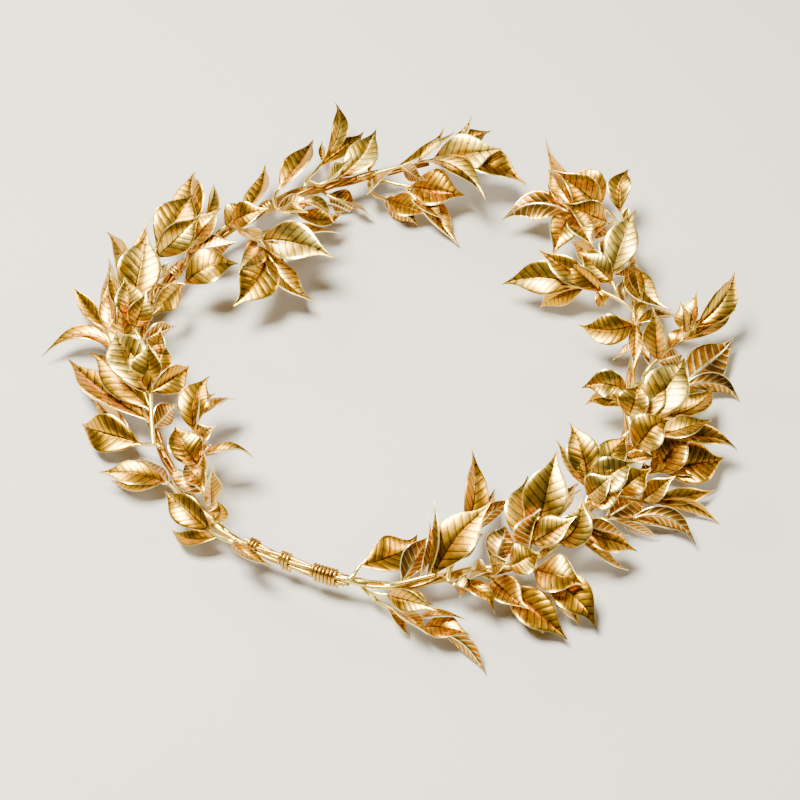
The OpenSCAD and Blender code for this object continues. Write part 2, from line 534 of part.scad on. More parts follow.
// A twig's points: the first is seated on the stem, and none comes nearer to it than the clearance. A twig
// that leaves steeply shows the stem its end, not its side, so it is seated nearer
function clear_of(line, p, far) = let (q = nearest(line, p)) norm(p - q) >= far ? p : q + unit(p - q) * far;
function seated(line, p, far) = let (q = nearest(line, p)) q + unit(p - q) * far;
stem_far = 1.6 + stem_extra / 2 + seat_gap;
function end_seated(line, first, next) = let (out = unit(first - nearest(line, first)),
  steep = abs(unit(next - first) * out))
  first - out * max(0, twig_r * (1 - sqrt(1 - steep * steep)) - twig_end_r / 2 * steep);
function twig_line(rows, line, n) = let (p = curve([for (r = rows) seen(r[0], r[1], r[2])], n),
  clear = [for (i = [0:n]) i == 0 ? seated(line, p[0], stem_far + twig_r) : clear_of(line, p[i], stem_far + twig_r)])
  [for (i = [0:n]) i == 0 ? end_seated(line, clear[0], clear[1]) : clear[i]];
function fork_line(rows, first, line, n) = let (p = curve(concat([first], [for (r = rows) seen(r[0], r[1], r[2])]), n))
  [for (i = [0:n]) i == 0 ? first : clear_of(line, p[i], stem_far + twig_r)];
function twig_lines(twigs, line) = let (first = twig_line(twigs[0], line, twig_lengths))
  len(twigs) == 1 ? [first] : [first, fork_line(twigs[1], first[1], line, twig_lengths)];

module twig(points) {
  n = len(points) - 1;
  // A twig runs on past its last point, so that the feet of its end leaves lie inside it
  line = [for (i = [0:n]) i < n ? points[i] : points[n] + unit(points[n] - points[n - 1]) * twig_end_r];
  rings = [for (i = [0:n]) ring_of(line[i], along_at(line, i), [0, 0, 1],
    twig_r + (twig_end_r - twig_r) * i / n, twig_sides)];
  // Each length runs on to a point inside the next one; the twig's two ends are flat
  for (i = [0:n - 1]) let (reach = unit(line[i + 1] - line[i]) * twig_end_r / 2) hull() {
    hull() cone(rings[i], line[i] + reach * (i == 0 ? 1 : -1));
    hull() cone(rings[i + 1], line[i + 1] + reach * (i == n - 1 ? -1 : 1));
  }
}

// A leaf: sections across a curve from its foot to its tip
function leaf_offset(row, t, side, to_eye) = let (lift = len(row) > 8 ? row[8] : 2, flick = len(row) > 9 ? row[9] : 0,
  bow = len(row) > 7 ? row[7] : 0, f = max(0, (t - 0.7) / 0.3))
  4 * t * (1 - t) * (side * bow + to_eye * lift) + side * flick * (f * f - t);
function leaf_point(row, foot, tip, t, side, to_eye) = foot + (tip - foot) * t + leaf_offset(row, t, side, to_eye);
function square_to(v, along) = unit(v - along * (v * along));

module leaf(row, foot) {
  tip = seen(row[2], row[3], row[4]);
  middle = (foot + tip) / 2;
  chord = unit(tip - foot);
  to_eye = square_to(unit(eye - middle), chord);
  side = cross(to_eye, chord);
  face = square_to(unit(eye - middle) * (1 - face_up) + [0, 0, face_up], chord);
  flank = cross(face, chord);
  turned = face * cos(row[6]) + flank * sin(row[6]);
  last = row[5] > narrow_leaf ? len(leaf_sections) - 1 : 1;
  points = concat([for (i = [0:last]) let (s = leaf_sections[i], t = s[0],
      p = leaf_point(row, foot, tip, t, side, to_eye),
      q = leaf_point(row, foot, tip, t + 0.02, side, to_eye),
      along = unit(q - p), up = square_to(turned, along), across = cross(up, along),
      half = max(s[1] * row[5] * leaf_broad / 2, leaf_stalk), thick = s[2] * leaf_t / 2,
      raise = (half - leaf_stalk) * tan(leaf_fold))
    each [p + across * half + up * raise, p + up * thick, p - across * half + up * raise, p - up * thick]],
    [tip]);
  apex = 4 * (last + 1);
  polyhedron(points = [for (p = points) placed(p)], faces = concat(
    [[0, 1, 2], [0, 2, 3]],
    [for (i = [0:last - 1]) for (j = [0:3]) let (a = i * 4 + j, b = i * 4 + (j + 1) % 4) [a, b + 4, b]],
    [for (i = [0:last - 1]) for (j = [0:3]) let (a = i * 4 + j, b = i * 4 + (j + 1) % 4) [a, a + 4, b + 4]],
    [for (j = [0:3]) [last * 4 + j, apex, last * 4 + (j + 1) % 4]]));
}

module sprig(twigs, leaves, line) {
  lines = twig_lines(twigs, line);
  union() {
    for (l = lines) twig(l);
    for (row = leaves) let (feet = [for (l = lines) seen_nearest(l, [row[0], row[1], plan_z])],
        k = len(feet) > 1 && feet[1][0] < feet[0][0] ? 1 : 0)
      leaf(row, feet[k][1]);
  }
}

module stem_left() color(gold) stem(stem_left_curve);
module stem_right() color(gold) stem(stem_right_curve);
module joint_wrap_left() color(gold) winding(stem_right_rows, joint_wraps[0][0], joint_wraps[0][1], strand_rise);
module joint_wrap_middle() color(gold) winding(stem_right_rows, joint_wraps[1][0], joint_wraps[1][1], strand_rise);
module joint_wrap_right() color(gold) winding(stem_right_rows, joint_wraps[2][0], joint_wraps[2][1], strand_rise);
module collar_left_lower() color(gold) winding(stem_left_rows, collar_wraps[0][0], collar_wraps[0][1], 0);
module collar_left_upper() color(gold) winding(stem_left_rows, collar_wraps[1][0], collar_wraps[1][1], 0);
module collar_right() color(gold) winding(stem_right_rows, collar_wraps[2][0], collar_wraps[2][1], 0);

module leaf_sprig_left_1() color(pale_gold) sprig(left_1_twigs, left_1_leaves, stem_left_line);
module leaf_sprig_left_2() color(pale_gold) sprig(left_2_twigs, left_2_leaves, stem_left_line);
module leaf_sprig_left_3() color(pale_gold) sprig(left_3_twigs, left_3_leaves, stem_left_line);
module leaf_sprig_left_4() color(pale_gold) sprig(left_4_twigs, left_4_leaves, stem_left_line);
module leaf_sprig_left_5() color(pale_gold) sprig(left_5_twigs, left_5_leaves, stem_left_line);
module leaf_sprig_left_6() color(pale_gold) sprig(left_6_twigs, left_6_leaves, stem_left_line);
module leaf_sprig_left_7() color(pale_gold) sprig(left_7_twigs, left_7_leaves, stem_left_line);
module leaf_sprig_left_8() color(pale_gold) sprig(left_8_twigs, left_8_leaves, stem_left_line);
module leaf_sprig_left_9() color(pale_gold) sprig(left_9_twigs, left_9_leaves, stem_left_line);
module leaf_sprig_left_10() color(pale_gold) sprig(left_10_twigs, left_10_leaves, stem_left_line);
module leaf_sprig_left_11() color(pale_gold) sprig(left_11_twigs, left_11_leaves, stem_left_line);
module leaf_sprig_left_12() color(pale_gold) sprig(left_12_twigs, left_12_leaves, stem_left_line);
module leaf_sprig_left_13() color(pale_gold) sprig(left_13_twigs, left_13_leaves, stem_left_line);
module leaf_sprig_left_14() color(pale_gold) sprig(left_14_twigs, left_14_leaves, stem_left_line);
module leaf_sprig_left_15() color(pale_gold) sprig(left_15_twigs, left_15_leaves, stem_left_line);
module leaf_sprig_right_1() color(pale_gold) sprig(right_1_twigs, right_1_leaves, stem_right_line);
module leaf_sprig_right_2() color(pale_gold) sprig(right_2_twigs, right_2_leaves, stem_right_line);
module leaf_sprig_right_3() color(pale_gold) sprig(right_3_twigs, right_3_leaves, stem_right_line);
module leaf_sprig_right_4() color(pale_gold) sprig(right_4_twigs, right_4_leaves, stem_right_line);
module leaf_sprig_right_5() color(pale_gold) sprig(right_5_twigs, right_5_leaves, stem_right_line);
module leaf_sprig_right_6() color(pale_gold) sprig(right_6_twigs, right_6_leaves, stem_right_line);
module leaf_sprig_right_7() color(pale_gold) sprig(right_7_twigs, right_7_leaves, stem_right_line);
module leaf_sprig_right_8() color(pale_gold) sprig(right_8_twigs, right_8_leaves, stem_right_line);
module leaf_sprig_right_9() color(pale_gold) sprig(right_9_twigs, right_9_leaves, stem_right_line);
module leaf_sprig_right_10() color(pale_gold) sprig(right_10_twigs, right_10_leaves, stem_right_line);
module leaf_sprig_right_11() color(pale_gold) sprig(right_11_twigs, right_11_leaves, stem_right_line);
module leaf_sprig_right_12() color(pale_gold) sprig(right_12_twigs, right_12_leaves, stem_right_line);
module leaf_sprig_right_13() color(pale_gold) sprig(right_13_twigs, right_13_leaves, stem_right_line);
module leaf_sprig_right_14() color(pale_gold) sprig(right_14_twigs, right_14_leaves, stem_right_line);
module leaf_sprig_right_15() color(pale_gold) sprig(right_15_twigs, right_15_leaves, stem_right_line);
module leaf_sprig_right_16() color(pale_gold) sprig(right_16_twigs, right_16_leaves, stem_right_line);
module leaf_sprig_right_17() color(pale_gold) sprig(right_17_twigs, right_17_leaves, stem_right_line);

stem_left();
stem_right();
joint_wrap_left();
joint_wrap_middle();
joint_wrap_right();
collar_left_lower();
collar_left_upper();
collar_right();
leaf_sprig_left_1();
leaf_sprig_left_2();
leaf_sprig_left_3();
leaf_sprig_left_4();
leaf_sprig_left_5();
leaf_sprig_left_6();
leaf_sprig_left_7();
leaf_sprig_left_8();
leaf_sprig_left_9();
leaf_sprig_left_10();
leaf_sprig_left_11();
leaf_sprig_left_12();
leaf_sprig_left_13();
leaf_sprig_left_14();
leaf_sprig_left_15();
leaf_sprig_right_1();
leaf_sprig_right_2();
leaf_sprig_right_3();
leaf_sprig_right_4();
leaf_sprig_right_5();
leaf_sprig_right_6();
leaf_sprig_right_7();
leaf_sprig_right_8();
leaf_sprig_right_9();
leaf_sprig_right_10();
leaf_sprig_right_11();
leaf_sprig_right_12();
leaf_sprig_right_13();
leaf_sprig_right_14();
leaf_sprig_right_15();
leaf_sprig_right_16();
leaf_sprig_right_17();
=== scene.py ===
"""Leaf headband: two garlands of gilded leaves on wire stems, bound at the back and open at the front.

Rows are in millimetres on the chart that the part's source uses too: x to the right, y away from the eye,
z the true height. placed() turns a charted point into the headband's own frame.
"""
import math
import random

import bmesh
import bpy
import numpy as np
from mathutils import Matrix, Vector


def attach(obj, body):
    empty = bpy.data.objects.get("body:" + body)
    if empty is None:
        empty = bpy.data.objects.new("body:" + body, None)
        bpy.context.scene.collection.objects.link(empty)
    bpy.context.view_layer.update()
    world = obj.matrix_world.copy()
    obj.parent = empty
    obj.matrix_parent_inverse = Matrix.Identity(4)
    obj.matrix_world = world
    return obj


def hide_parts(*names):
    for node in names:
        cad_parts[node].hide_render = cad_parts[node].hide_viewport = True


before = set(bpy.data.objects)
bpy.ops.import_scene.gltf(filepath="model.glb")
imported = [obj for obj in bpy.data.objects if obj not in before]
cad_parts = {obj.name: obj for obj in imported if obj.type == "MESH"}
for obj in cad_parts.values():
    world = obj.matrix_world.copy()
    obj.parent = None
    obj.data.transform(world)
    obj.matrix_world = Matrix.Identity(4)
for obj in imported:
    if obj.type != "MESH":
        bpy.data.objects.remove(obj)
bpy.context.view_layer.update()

MM = 0.001
random.seed(7)

# The chart: its own height, the eye point that its sight lines meet in, and how it is turned into the frame
PLAN_Z = 14.0
EYE = np.array([5.5, -356.6, 505.5])
PLAN_MIDDLE = np.array([9.0, 10.0])
PLAN_TURN = math.radians(-154.8)
REST_LIFT = -1.5

# Sizes that the source's pieces have
TWIG_D = 1.9
TWIG_END_D = 1.3
SEAT_GAP = 0.3
STEM_R = 1.6
STEM_LENGTHS = {"left": 36, "right": 34}
STRAND_RISE = 1.7
WRAP_WIRE_D = 1.0
WRAP_PITCH = 1.3
# How far a leaf's face turns from the eye towards straight up
FACE_UP = 0.35
# How wide a leaf is beside the source's straight-sided one
LEAF_BROAD = 1.15

# Twigs: how many lengths each has, and how thick its round wire is beside the source's faceted one
TWIG_LENGTHS = 3
TWIG_SHARE = 0.92
# The strands of a main stem: how many, one turn's length, and their place and size as shares of its radius
STRANDS = 3
STRAND_PITCH = 46.0
STRAND_OUT = 0.58
STRAND_R = 0.53
# How deep a stem's gold is at shares of its length from the joint
STEM_TONES = {"left": [[0, 0.12, 0.3, 1], [0.42, 0.46, 0.75, 0.85]],
              "right": [[0, 0.15, 0.5, 1], [0.42, 0.42, 0.55, 0.6]]}
# How full a stem's bundle is at shares of its length from the joint
STEM_FULLNESS = {"left": [[0, 0.45, 0.6, 0.85, 1], [1, 1, 1.18, 1.18, 0.9]],
                 "right": [[0, 1], [1, 1]]}
# A knot's thickness along its length as shares of the stem's, and how many points it reaches each way
KNOT_PROFILE = [0.8, 1.02, 1.1, 1.02, 0.8]
KNOT_REACH = 2
# The filler wires: rows of the right stem that they run between, their points, their place and their radius
FILLER_SPAN = [0.1, 4.2]
FILLER_POINTS = 40
FILLER_OUT = 1.15
FILLER_R = 0.6
# A winding: points in one turn, its clearance, what its wire gains, and how squarely it rounds two strands
WINDING_PLACES = 16
WINDING_CLEAR = 0.1
WINDING_GAIN = 0.06
WINDING_SQUARE = 2.5
# How deep the gold of twigs and windings is
TWIG_TONE = 0.4
WINDING_TONE = 0.5
# The sharpest angles, in degrees, that are still shaded as smooth
LEAF_SMOOTH = 50
WIRE_SMOOTH = 60

# Main stems: chart x, chart y, true height, diameter, true rise of the strand
STEM_LEFT_ROWS = [
  [-13, -86.2, 14, 2.6, -1.7], [-22, -83.4, 14, 2.6, -1.7], [-31, -79.6, 14, 2.6, -1.7],
  [-40, -75.6, 14, 2.6, -1.7], [-49, -70.9, 14, 2.7, -1.4], [-58, -64, 14, 3, -0.3],
  [-66, -55, 14, 3.2, 0], [-73, -45, 14, 3.2, 0], [-77.5, -36, 14, 3.2, 0], [-82, -25, 14, 3.2, 0],
  [-85, -14, 14, 3.2, 0], [-88, -2, 14, 3.2, 0], [-90, 10, 14, 3.2, 0], [-89.5, 22, 14, 3.3, 0],
  [-87, 34, 14, 3.4, 0], [-82, 44, 14, 3.4, 0], [-76, 53, 14, 3.4, 0], [-68, 62, 14, 3.4, 0],
  [-60, 69, 14, 3.4, 0], [-51, 76, 14, 3.4, 0], [-44, 82, 14, 3.4, 0], [-35, 87, 14, 3.3, 0],
  [-26, 90, 14, 3.2, 0], [-15, 93.5, 14, 3.1, 0], [-5, 97, 14, 3, 0], [3, 99, 14, 2.8, 0],
  [10, 101, 14, 2.5, 0], [17, 103, 14, 2.1, 0]
]
STEM_RIGHT_ROWS = [
  [-47, -72, 14, 2.6, 1.7], [-40, -75.6, 14, 2.6, 1.7], [-31, -79.6, 14, 2.6, 1.7],
  [-22, -83.4, 14, 2.6, 1.7], [-13, -86.2, 14, 2.6, 1.7], [-4, -88, 14, 2.8, 0.8], [6, -88.5, 14, 3, 0.1],
  [16, -86, 14, 3.2, 0], [26, -83.5, 14, 3.2, 0], [38, -82, 14, 3.2, 0], [48, -79, 14, 3.2, 0],
  [57, -73, 14, 3.2, 0], [65, -65, 14, 3.2, 0], [72, -56, 14, 3.2, 0], [78, -46, 14, 3.2, 0],
  [83, -36, 14, 3.2, 0], [86, -26, 14, 3.2, 0], [87, -16, 14, 3.2, 0], [88.5, -6, 14, 3.2, 0],
  [91, 5, 14, 3.2, 0], [92.5, 16, 14, 3.2, 0], [93.5, 28, 14, 3.1, 0], [93.7, 40, 14, 3, 0],
  [94, 50, 14, 2.9, 0], [93.5, 60, 14, 2.6, 0], [91.5, 70, 14, 2.2, 0]
]
JOINT_WRAPS = [[0.3, 3], [1.6, 3], [2.8, 7]]
COLLAR_WRAPS = [[15.1, 3], [19.4, 3], [20.5, 2]]
SPRIGS = {
    "left_1": {
        "twigs": [[[-52, -71.5, 15.5], [-58.5, -67.8, 13], [-66, -60, 11], [-72, -54, 10]]],
        "leaves": [
            [-56, -69, -72.3, -66.7, 4, 5.5, -20, 2],
            [-59, -67, -76.5, -51, 16, 9, 10, 0, 3],
            [-52, -72, -37, -81.5, 21, 5, 30, -1, 3]
        ],
    },
    "left_2": {
        "twigs": [[[-64, -58, 16.5], [-69, -54.5, 15], [-74, -49, 11], [-79, -45, 10]]],
        "leaves": [
            [-79, -50, -95.7, -46.3, 3, 5, 50, 1],
            [-75, -47, -99.5, -43.5, 12, 8, -10, -2, 3],
            [-74, -49, -86, -36.5, 6, 8, 150]
        ],
    },
    "left_3": {
        "twigs": [[[-58, -62.5, 16], [-61.5, -54, 20], [-65.5, -39, 21], [-68, -28, 21], [-68.3, -17, 20]]],
        "leaves": [
            [-57.5, -62.5, -58.5, -54, 23, 6, 20, -1.5],
            [-62, -53, -74, -40, 20, 8, 165, 0, 4],
            [-63.5, -48, -70, -38, 26, 8, 150, 0, 3],
            [-63, -50, -62.7, -34.5, 29, 8, 60],
            [-60, -58, -60.5, -40, 32, 8, -50],
            [-65, -38, -45.7, -36.7, 24, 8, 50, 1.5, 2, -1.5],
            [-66, -34, -61.3, -31.8, 23, 2.4, 0, 0, 0],
            [-67, -30, -60, -23.7, 27, 6.5, 20],
            [-65, -41, -74.5, -23.5, 27, 11, -20, 1, 3],
            [-66, -36, -66.8, -11, 33, 4, 80, 0.5],
            [-68, -26, -64, -3.5, 25, 10, 15, 3, 3],
            [-68.3, -17, -61, -10, 24, 7, 45],
            [-68.2, -21, -53, -11.2, 17, 8, 50, 1]
        ],
    },
    "left_4": {
        "twigs": [
            [[-79, -33, 16], [-81.5, -31.5, 15.5], [-85, -31.5, 11.5], [-88, -31.5, 10]],
            [[-82.5, -25, 18], [-84, -16, 20], [-85, -8, 21.5], [-84.5, 1, 22], [-84, 8, 22]]
        ],
        "leaves": [
            [-86, -33, -108.5, -22.7, 6, 12, 10, 0, 3],
            [-88, -31, -105, -11, 1.5, 11, 40, 0, 2],
            [-83, -25, -74.5, -14.5, 17, 8, 140],
            [-84.3, -5, -92, 14, 27, 9, 0],
            [-84, -22, -115.5, 4.5, 6, 11, -25, 1.5, 3],
            [-84, -17, -107, 8, 14, 11, 10, 0, 3],
            [-85, -11, -100, 20, 24, 13, 5, 0, 4],
            [-85, -6, -87, 13, 32, 10, 25, 1, 2],
            [-84.5, -2, -81.5, 14, 25, 8, -35, 0, 2],
            [-84.7, -9, -71, 3, 20, 9, -35],
            [-84, 8, -83, 20, 30, 7, 30]
        ],
    },
    "left_5": {
        "twigs": [[[-88, -6, 12], [-93, 1, 10], [-98, 9, 9.5], [-101.5, 18, 9.5]]],
        "leaves": [
            [-97, 6, -125.3, 6.7, 7, 6.5, -35, -9, 1],
            [-99, 12, -109.5, 23.5, 3, 5, 50],
            [-101.5, 18, -118, 39.8, 9, 5.2, 5, 1, 2],
            [-100, 14, -105, 42, 16, 7, 30, 0, 3],
            [-100.3, 15, -106.7, 54, 6, 10, 55, 0, 3],
            [-94, 3, -99, 32, 14, 10, 20]
        ],
    },
    "left_6": {
        "twigs": [[[-90, 14, 16.5], [-93, 20, 18], [-95, 29, 18], [-96, 38, 18]]],
        "leaves": [
            [-90, 14, -78.5, 21.5, 15, 7, 115, 0, 3],
            [-95, 29, -92.5, 67, 30, 14, 0, 0, 2],
            [-96, 38, -107.7, 67, 11, 7, 45, -2],
            [-93.5, 22, -99, 44, 27, 9, 5, 0, 3],
            [-93, 20, -90.5, 38, 29, 8, -15, 0, 3],
            [-94, 26, -105, 49, 22, 6, 40, 1, 2],
            [-95.7, 35, -101, 58, 19, 9, -45, 1],
            [-96, 38, -91, 73, 15, 6, 40, 1, -1]
        ],
    },
    "left_7": {
        "twigs": [
            [[-87.5, 34, 16.5], [-88.5, 42, 19], [-88.5, 50, 20], [-88, 58, 20]],
            [[-84, 40, 19], [-80, 41.5, 21], [-76, 41, 21]]
        ],
        "leaves": [
            [-88, 58, -76, 87, 26, 14, 10, 0, 3],
            [-88.3, 54, -72, 76, 31, 10, -30, 0, 3],
            [-76, 41, -56, 52, 26, 12, 10, 3, 3],
            [-87.5, 42, -82.5, 52, 27, 6, 130, 0, 2],
            [-77, 41, -87.5, 24.5, 22, 8, 40, 0, 2]
        ],
    },
    "left_8": {
        "twigs": [[[-76.5, 52, 16.5], [-76, 57, 17], [-74.5, 63, 17.5], [-71, 70, 18]]],
        "leaves": [
            [-73.7, 65, -76, 98, 21, 12, 20, 1, 3],
            [-71, 70, -69, 94, 17, 6, -50, -1, 2],
            [-76, 57, -57.5, 62, 21, 9, 165, 0, 2],
            [-75.5, 60, -65, 79.5, 26, 10, 25, 0, 3]
        ],
    },
    "left_9": {
        "twigs": [[[-67, 63, 16.5], [-65, 67, 17], [-62, 70, 17.5], [-59, 73, 18]]],
        "leaves": [
            [-62.5, 69.5, -54, 82, 22, 9, 10],
            [-59, 73, -47.7, 101, 12, 9, 45, -3.5, 2],
            [-60.5, 71.5, -46, 79, 27, 9, 10, 1, 3]
        ],
    },
    "left_10": {
        "twigs": [[[-59, 69.5, 16.5], [-54.5, 67.5, 20], [-50, 65, 22], [-47, 60, 22], [-45.5, 55, 22]]],
        "leaves": [
            [-48.5, 63, -20, 54, 28, 13, 5, 2, 3],
            [-51, 66, -16.5, 66.7, 19, 10, 50, 0, 3],
            [-46, 58, -27, 33, 13, 10, 40, -3, 2],
            [-45.5, 55, -57, 30.5, 20, 14, 10, 1.5, 3],
            [-46.5, 59, -57, 46.5, 30, 7, 0],
            [-56, 68, -46, 58.5, 32, 7, 15],
            [-47, 60.5, -38, 51, 23, 8, 130],
            [-49.5, 64.5, -55, 52, 25, 3.5, 20, 0, 1],
            [-50, 65, -22, 73, 10, 8, 120, -2, 2]
        ],
    },
    "left_11": {
        "twigs": [
            [[-43.5, 82.5, 16.5], [-44, 86, 16.5], [-41.5, 90, 14]],
            [[-43, 79, 19], [-40, 77, 20.5], [-36, 78, 21]]
        ],
        "leaves": [
            [-42, 88, -29.3, 114.3, 15, 10, 30, 0, 3],
            [-38, 77.3, -20, 72, 22, 8, 55, 5, 2],
            [-36, 78, -17, 76.5, 15, 7, 20, -3, 2],
            [-42, 78, -30.5, 76.5, 28, 7, 35],
            [-39.5, 77, -14, 78, 10, 8, 55, 3, 1],
            [-43, 79, -28, 84, 25, 7, 160, 0, 2]
        ],
    },
    "left_12": {
        "twigs": [
            [[-32, 91, 17], [-31.5, 94.5, 16.5], [-28, 99, 13], [-24.5, 106, 12]],
            [[-27, 91.5, 19], [-23, 93.5, 20], [-19, 95, 20]]
        ],
        "leaves": [
            [-24.5, 106, -21.3, 137.3, 19, 6.5, -35, -3.5, 3],
            [-25.5, 103.5, -26, 115.3, 10, 2.4, 0, 0, 0],
            [-27, 101, -9.2, 121, 8, 7, 15],
            [-19, 95, -4.2, 121.5, 26, 10, 5, -2, 3],
            [-23, 93.5, -14, 106, 31, 8, 45]
        ],
    },
    "left_13": {
        "twigs": [[[-26, 89, 12], [-23, 86, 11], [-19.5, 84, 10.5], [-16, 83, 10]]],
        "leaves": [
            [-23.5, 86.5, -11.5, 79, 3.5, 9, 150],
            [-16, 83, -4.7, 74, 5, 6, 60]
        ],
    },
    "left_14": {
        "twigs": [[[-10, 95.5, 16.5], [-2, 98.5, 18], [8, 102.5, 19], [17, 104.5, 19.5], [25, 105, 20]]],
        "leaves": [
            [-8, 97, -2.7, 108.5, 19, 4, 55],
            [3, 100.5, 23.3, 123.3, 19, 5.5, 50, -2.5, 2],
            [12, 103.5, 27.5, 121.2, 25, 7, 55],
            [22, 105, 34.5, 129.5, 24, 6, 50, -2.5],
            [24, 105, 41.5, 119.3, 16, 8, 20, 2],
            [18, 104.5, 46.5, 110.5, 27, 14, 5, 0, 3],
            [25, 105, 55.5, 91.8, 15, 12, 20, 3, 4],
            [15, 104, 39, 84, 28, 9, 30, 4, 3],
            [6, 101.5, 16, 93.5, 27, 6, 150]
        ],
    },
    "left_15": {
        "twigs": [
            [[-6, 96, 12], [-7, 91, 10], [-4.5, 86, 9], [1, 84, 9]],
            [[-1, 93.5, 10.5], [4, 92, 10.5], [10, 90.5, 10.5]]
        ],
        "leaves": [
            [-2, 84.8, 12.7, 70.5, 1.5, 9, 140],
            [1, 84, 16, 76, 11, 9, 10],
            [-6, 89, 3, 101, 28, 8, 40, 0, 4],
            [10, 90.5, 31, 85.5, 14, 14, 5, 0, 3],
            [6.5, 91.5, 27.5, 60, 3, 10, 40, 2, 1],
            [10, 90.5, 23, 72, 12, 8, 10, 0, 2]
        ],
    },
    "right_1": {
        "twigs": [[[-12, -86, 18.5], [-10, -84, 18.5], [-9, -82, 19.5], [-8, -80.5, 20]]],
        "leaves": [[-8, -80.5, 11, -69.5, 14, 12, 5, -1.5, 3]],
    },
    "right_2": {
        "twigs": [
            [[-8, -87.5, 12], [-3, -93, 10], [6, -99, 8], [15, -105, 7]],
            [[-4, -91, 14], [0, -91.5, 15], [4, -91.5, 15.5]]
        ],
        "leaves": [
            [1, -95.5, 8.8, -107.2, 3, 4, 50],
            [4, -97.5, 15, -106, 16, 8, 55],
            [13, -104, 28.2, -106.5, 12, 8, 10, 1],
            [15, -105, 33.4, -121.6, 1.5, 6.5, 120, 4],
            [9, -101, 27.3, -100.8, 15, 6, 50, 1],
            [1, -91.5, 18, -97.5, 22, 6.5, -25, 0, 3],
            [4, -91.5, 16, -95.5, 12, 6, 20]
        ],
    },
    "right_3": {
        "twigs": [[[3, -88, 16.5], [8, -86.5, 19], [13, -85, 20], [17, -84, 20.5]]],
        "leaves": [
            [6, -87.5, 16.5, -68, 25, 8, 155, 0, 3],
            [12, -85.3, 15, -61.5, 31, 6, 115, -2.5],
            [14.5, -84.7, 18, -55, 36, 5, 55, -2.5],
            [17, -84, 36.5, -56.5, 33, 12, 5, 2.5, 3],
            [16, -84.3, 26, -68, 22, 8, -40, 1, 1]
        ],
    },
    "right_4": {
        "twigs": [
            [[20.5, -84, 16.5], [23, -80, 16], [25.5, -75, 16.5], [27, -71, 17]],
            [[21.5, -85.5, 18], [23, -87.5, 17], [25, -88.5, 14]]
        ],
        "leaves": [
            [26.5, -72.5, 31, -34, 23, 9, -40, -2.5, 3],
            [27, -71, 38.5, -51, 14, 8, 50],
            [27, -71, 47, -54.5, 16, 5.5, 140, 2],
            [24.7, -77, 34, -63.5, 22, 9, 50],
            [23.3, -79.5, 34, -68, 11, 8, 125],
            [24, -88, 36.7, -98.5, 14, 5, 15, 3, 2],
            [23, -87.5, 30, -90, 16, 7, 150]
        ],
    },
    "right_5": {
        "twigs": [[[31, -82.5, 12], [34, -84.5, 9], [37.5, -86, 8], [41, -88.5, 8]]],
        "leaves": [
            [36, -85, 48, -97, 13, 9, 5, 0, 2],
            [41, -88.5, 60, -108, 6, 11, 5, 0, 3],
            [39, -87, 52, -106, 5.5, 8, 130, -1, 0]
        ],
    },
    "right_6": {
        "twigs": [[[27.5, -83, 16.5], [32, -81.5, 20], [37, -81, 21], [42, -81, 21.5]]],
        "leaves": [
            [37, -81, 41.7, -63.5, 25, 9, 165, 0, 3],
            [29, -82, 36.5, -83, 27, 7, 10],
            [36, -81, 43, -79, 29, 6, 0],
            [42, -81, 53, -75.5, 25, 10, 10]
        ],
    },
    "right_7": {
        "twigs": [
            [[46, -79.5, 16.5], [48, -76, 17.5], [50, -72, 18.5], [52, -68, 19]],
            [[49, -80.5, 18], [51.5, -83, 14], [54, -84, 11]]
        ],
        "leaves": [
            [49, -74, 50, -45, 24, 11, 10, 2, 3],
            [51.5, -69, 61, -34, 37, 13, 5, 0, 3],
            [48.5, -75, 53, -58, 29, 12, 130],
            [50.5, -71, 67.5, -48, 16, 10, 45],
            [52, -68, 68, -50, 26, 8, 45],
            [51, -82, 67, -88, 19, 12, 5, 0, 3],
            [50.5, -72, 66, -62, 28, 9, 10, 0, 2],
            [53, -84, 70, -104, 8, 11, 5, 2, 3],
            [53, -84, 65, -103, 1.5, 10, 40]
        ],
    },
    "right_8": {
        "twigs": [[[56.5, -73, 16.5], [60, -71, 19], [64, -67.5, 20], [67, -64.5, 20.5]]],
        "leaves": [
            [59, -72, 68, -54, 30, 10, 10, -3, 3],
            [67, -64.5, 84, -69, 24, 9, 120],
            [66, -65.5, 84.5, -75.3, 13, 9, 10, 0, 3],
            [63.5, -68, 82, -82.5, 5, 8, 55, 0, 1]
        ],
    },
    "right_9": {
        "twigs": [
            [[68.5, -61, 17], [72, -62, 15], [78, -62, 10], [84, -62.5, 8.5]],
            [[69.5, -59, 20], [70, -55, 22], [70.5, -51.5, 23], [71, -48, 23.5]]
        ],
        "leaves": [
            [70, -55, 83, -50, 27, 9, 10],
            [76, -62, 91, -51, 4, 10, 170],
            [78, -62, 94, -70, 3, 5, 120],
            [84, -62.5, 106, -72.5, 6, 6.5, 150, 5, 1],
            [82, -62.3, 101, -66.5, 1.5, 5, 50, 0, 1],
            [71, -48, 66, -22.5, 34, 10, -5, -1, 3],
            [70.7, -50, 61, -29.5, 26, 5, 55],
            [71, -50, 88, -39, 31, 11, 5, 0, 3],
            [70.5, -53, 80, -44, 33, 9, 0],
            [71, -48, 86, -28, 25, 9, 10, 0, 3]
        ],
    },
    "right_10": {
        "twigs": [[[76, -50, 16.5], [80, -52, 14], [85, -54, 11], [92, -56, 9]]],
        "leaves": [
            [80, -52, 92.5, -42.5, 18, 9, 5, 0, 3],
            [92, -56, 115, -64, 1.5, 5, -45, 4],
            [90.5, -55.7, 114.5, -50.5, 6, 5.5, 10, 0],
            [89, -55, 101.5, -45, 21, 7, 15]
        ],
    },
    "right_11": {
        "twigs": [
            [[82.5, -38, 12], [86.5, -42.5, 10], [91, -44, 9], [97, -42.5, 8]],
            [[84.5, -37, 17.5], [87, -35, 19], [91, -33, 20], [97, -28, 21]]
        ],
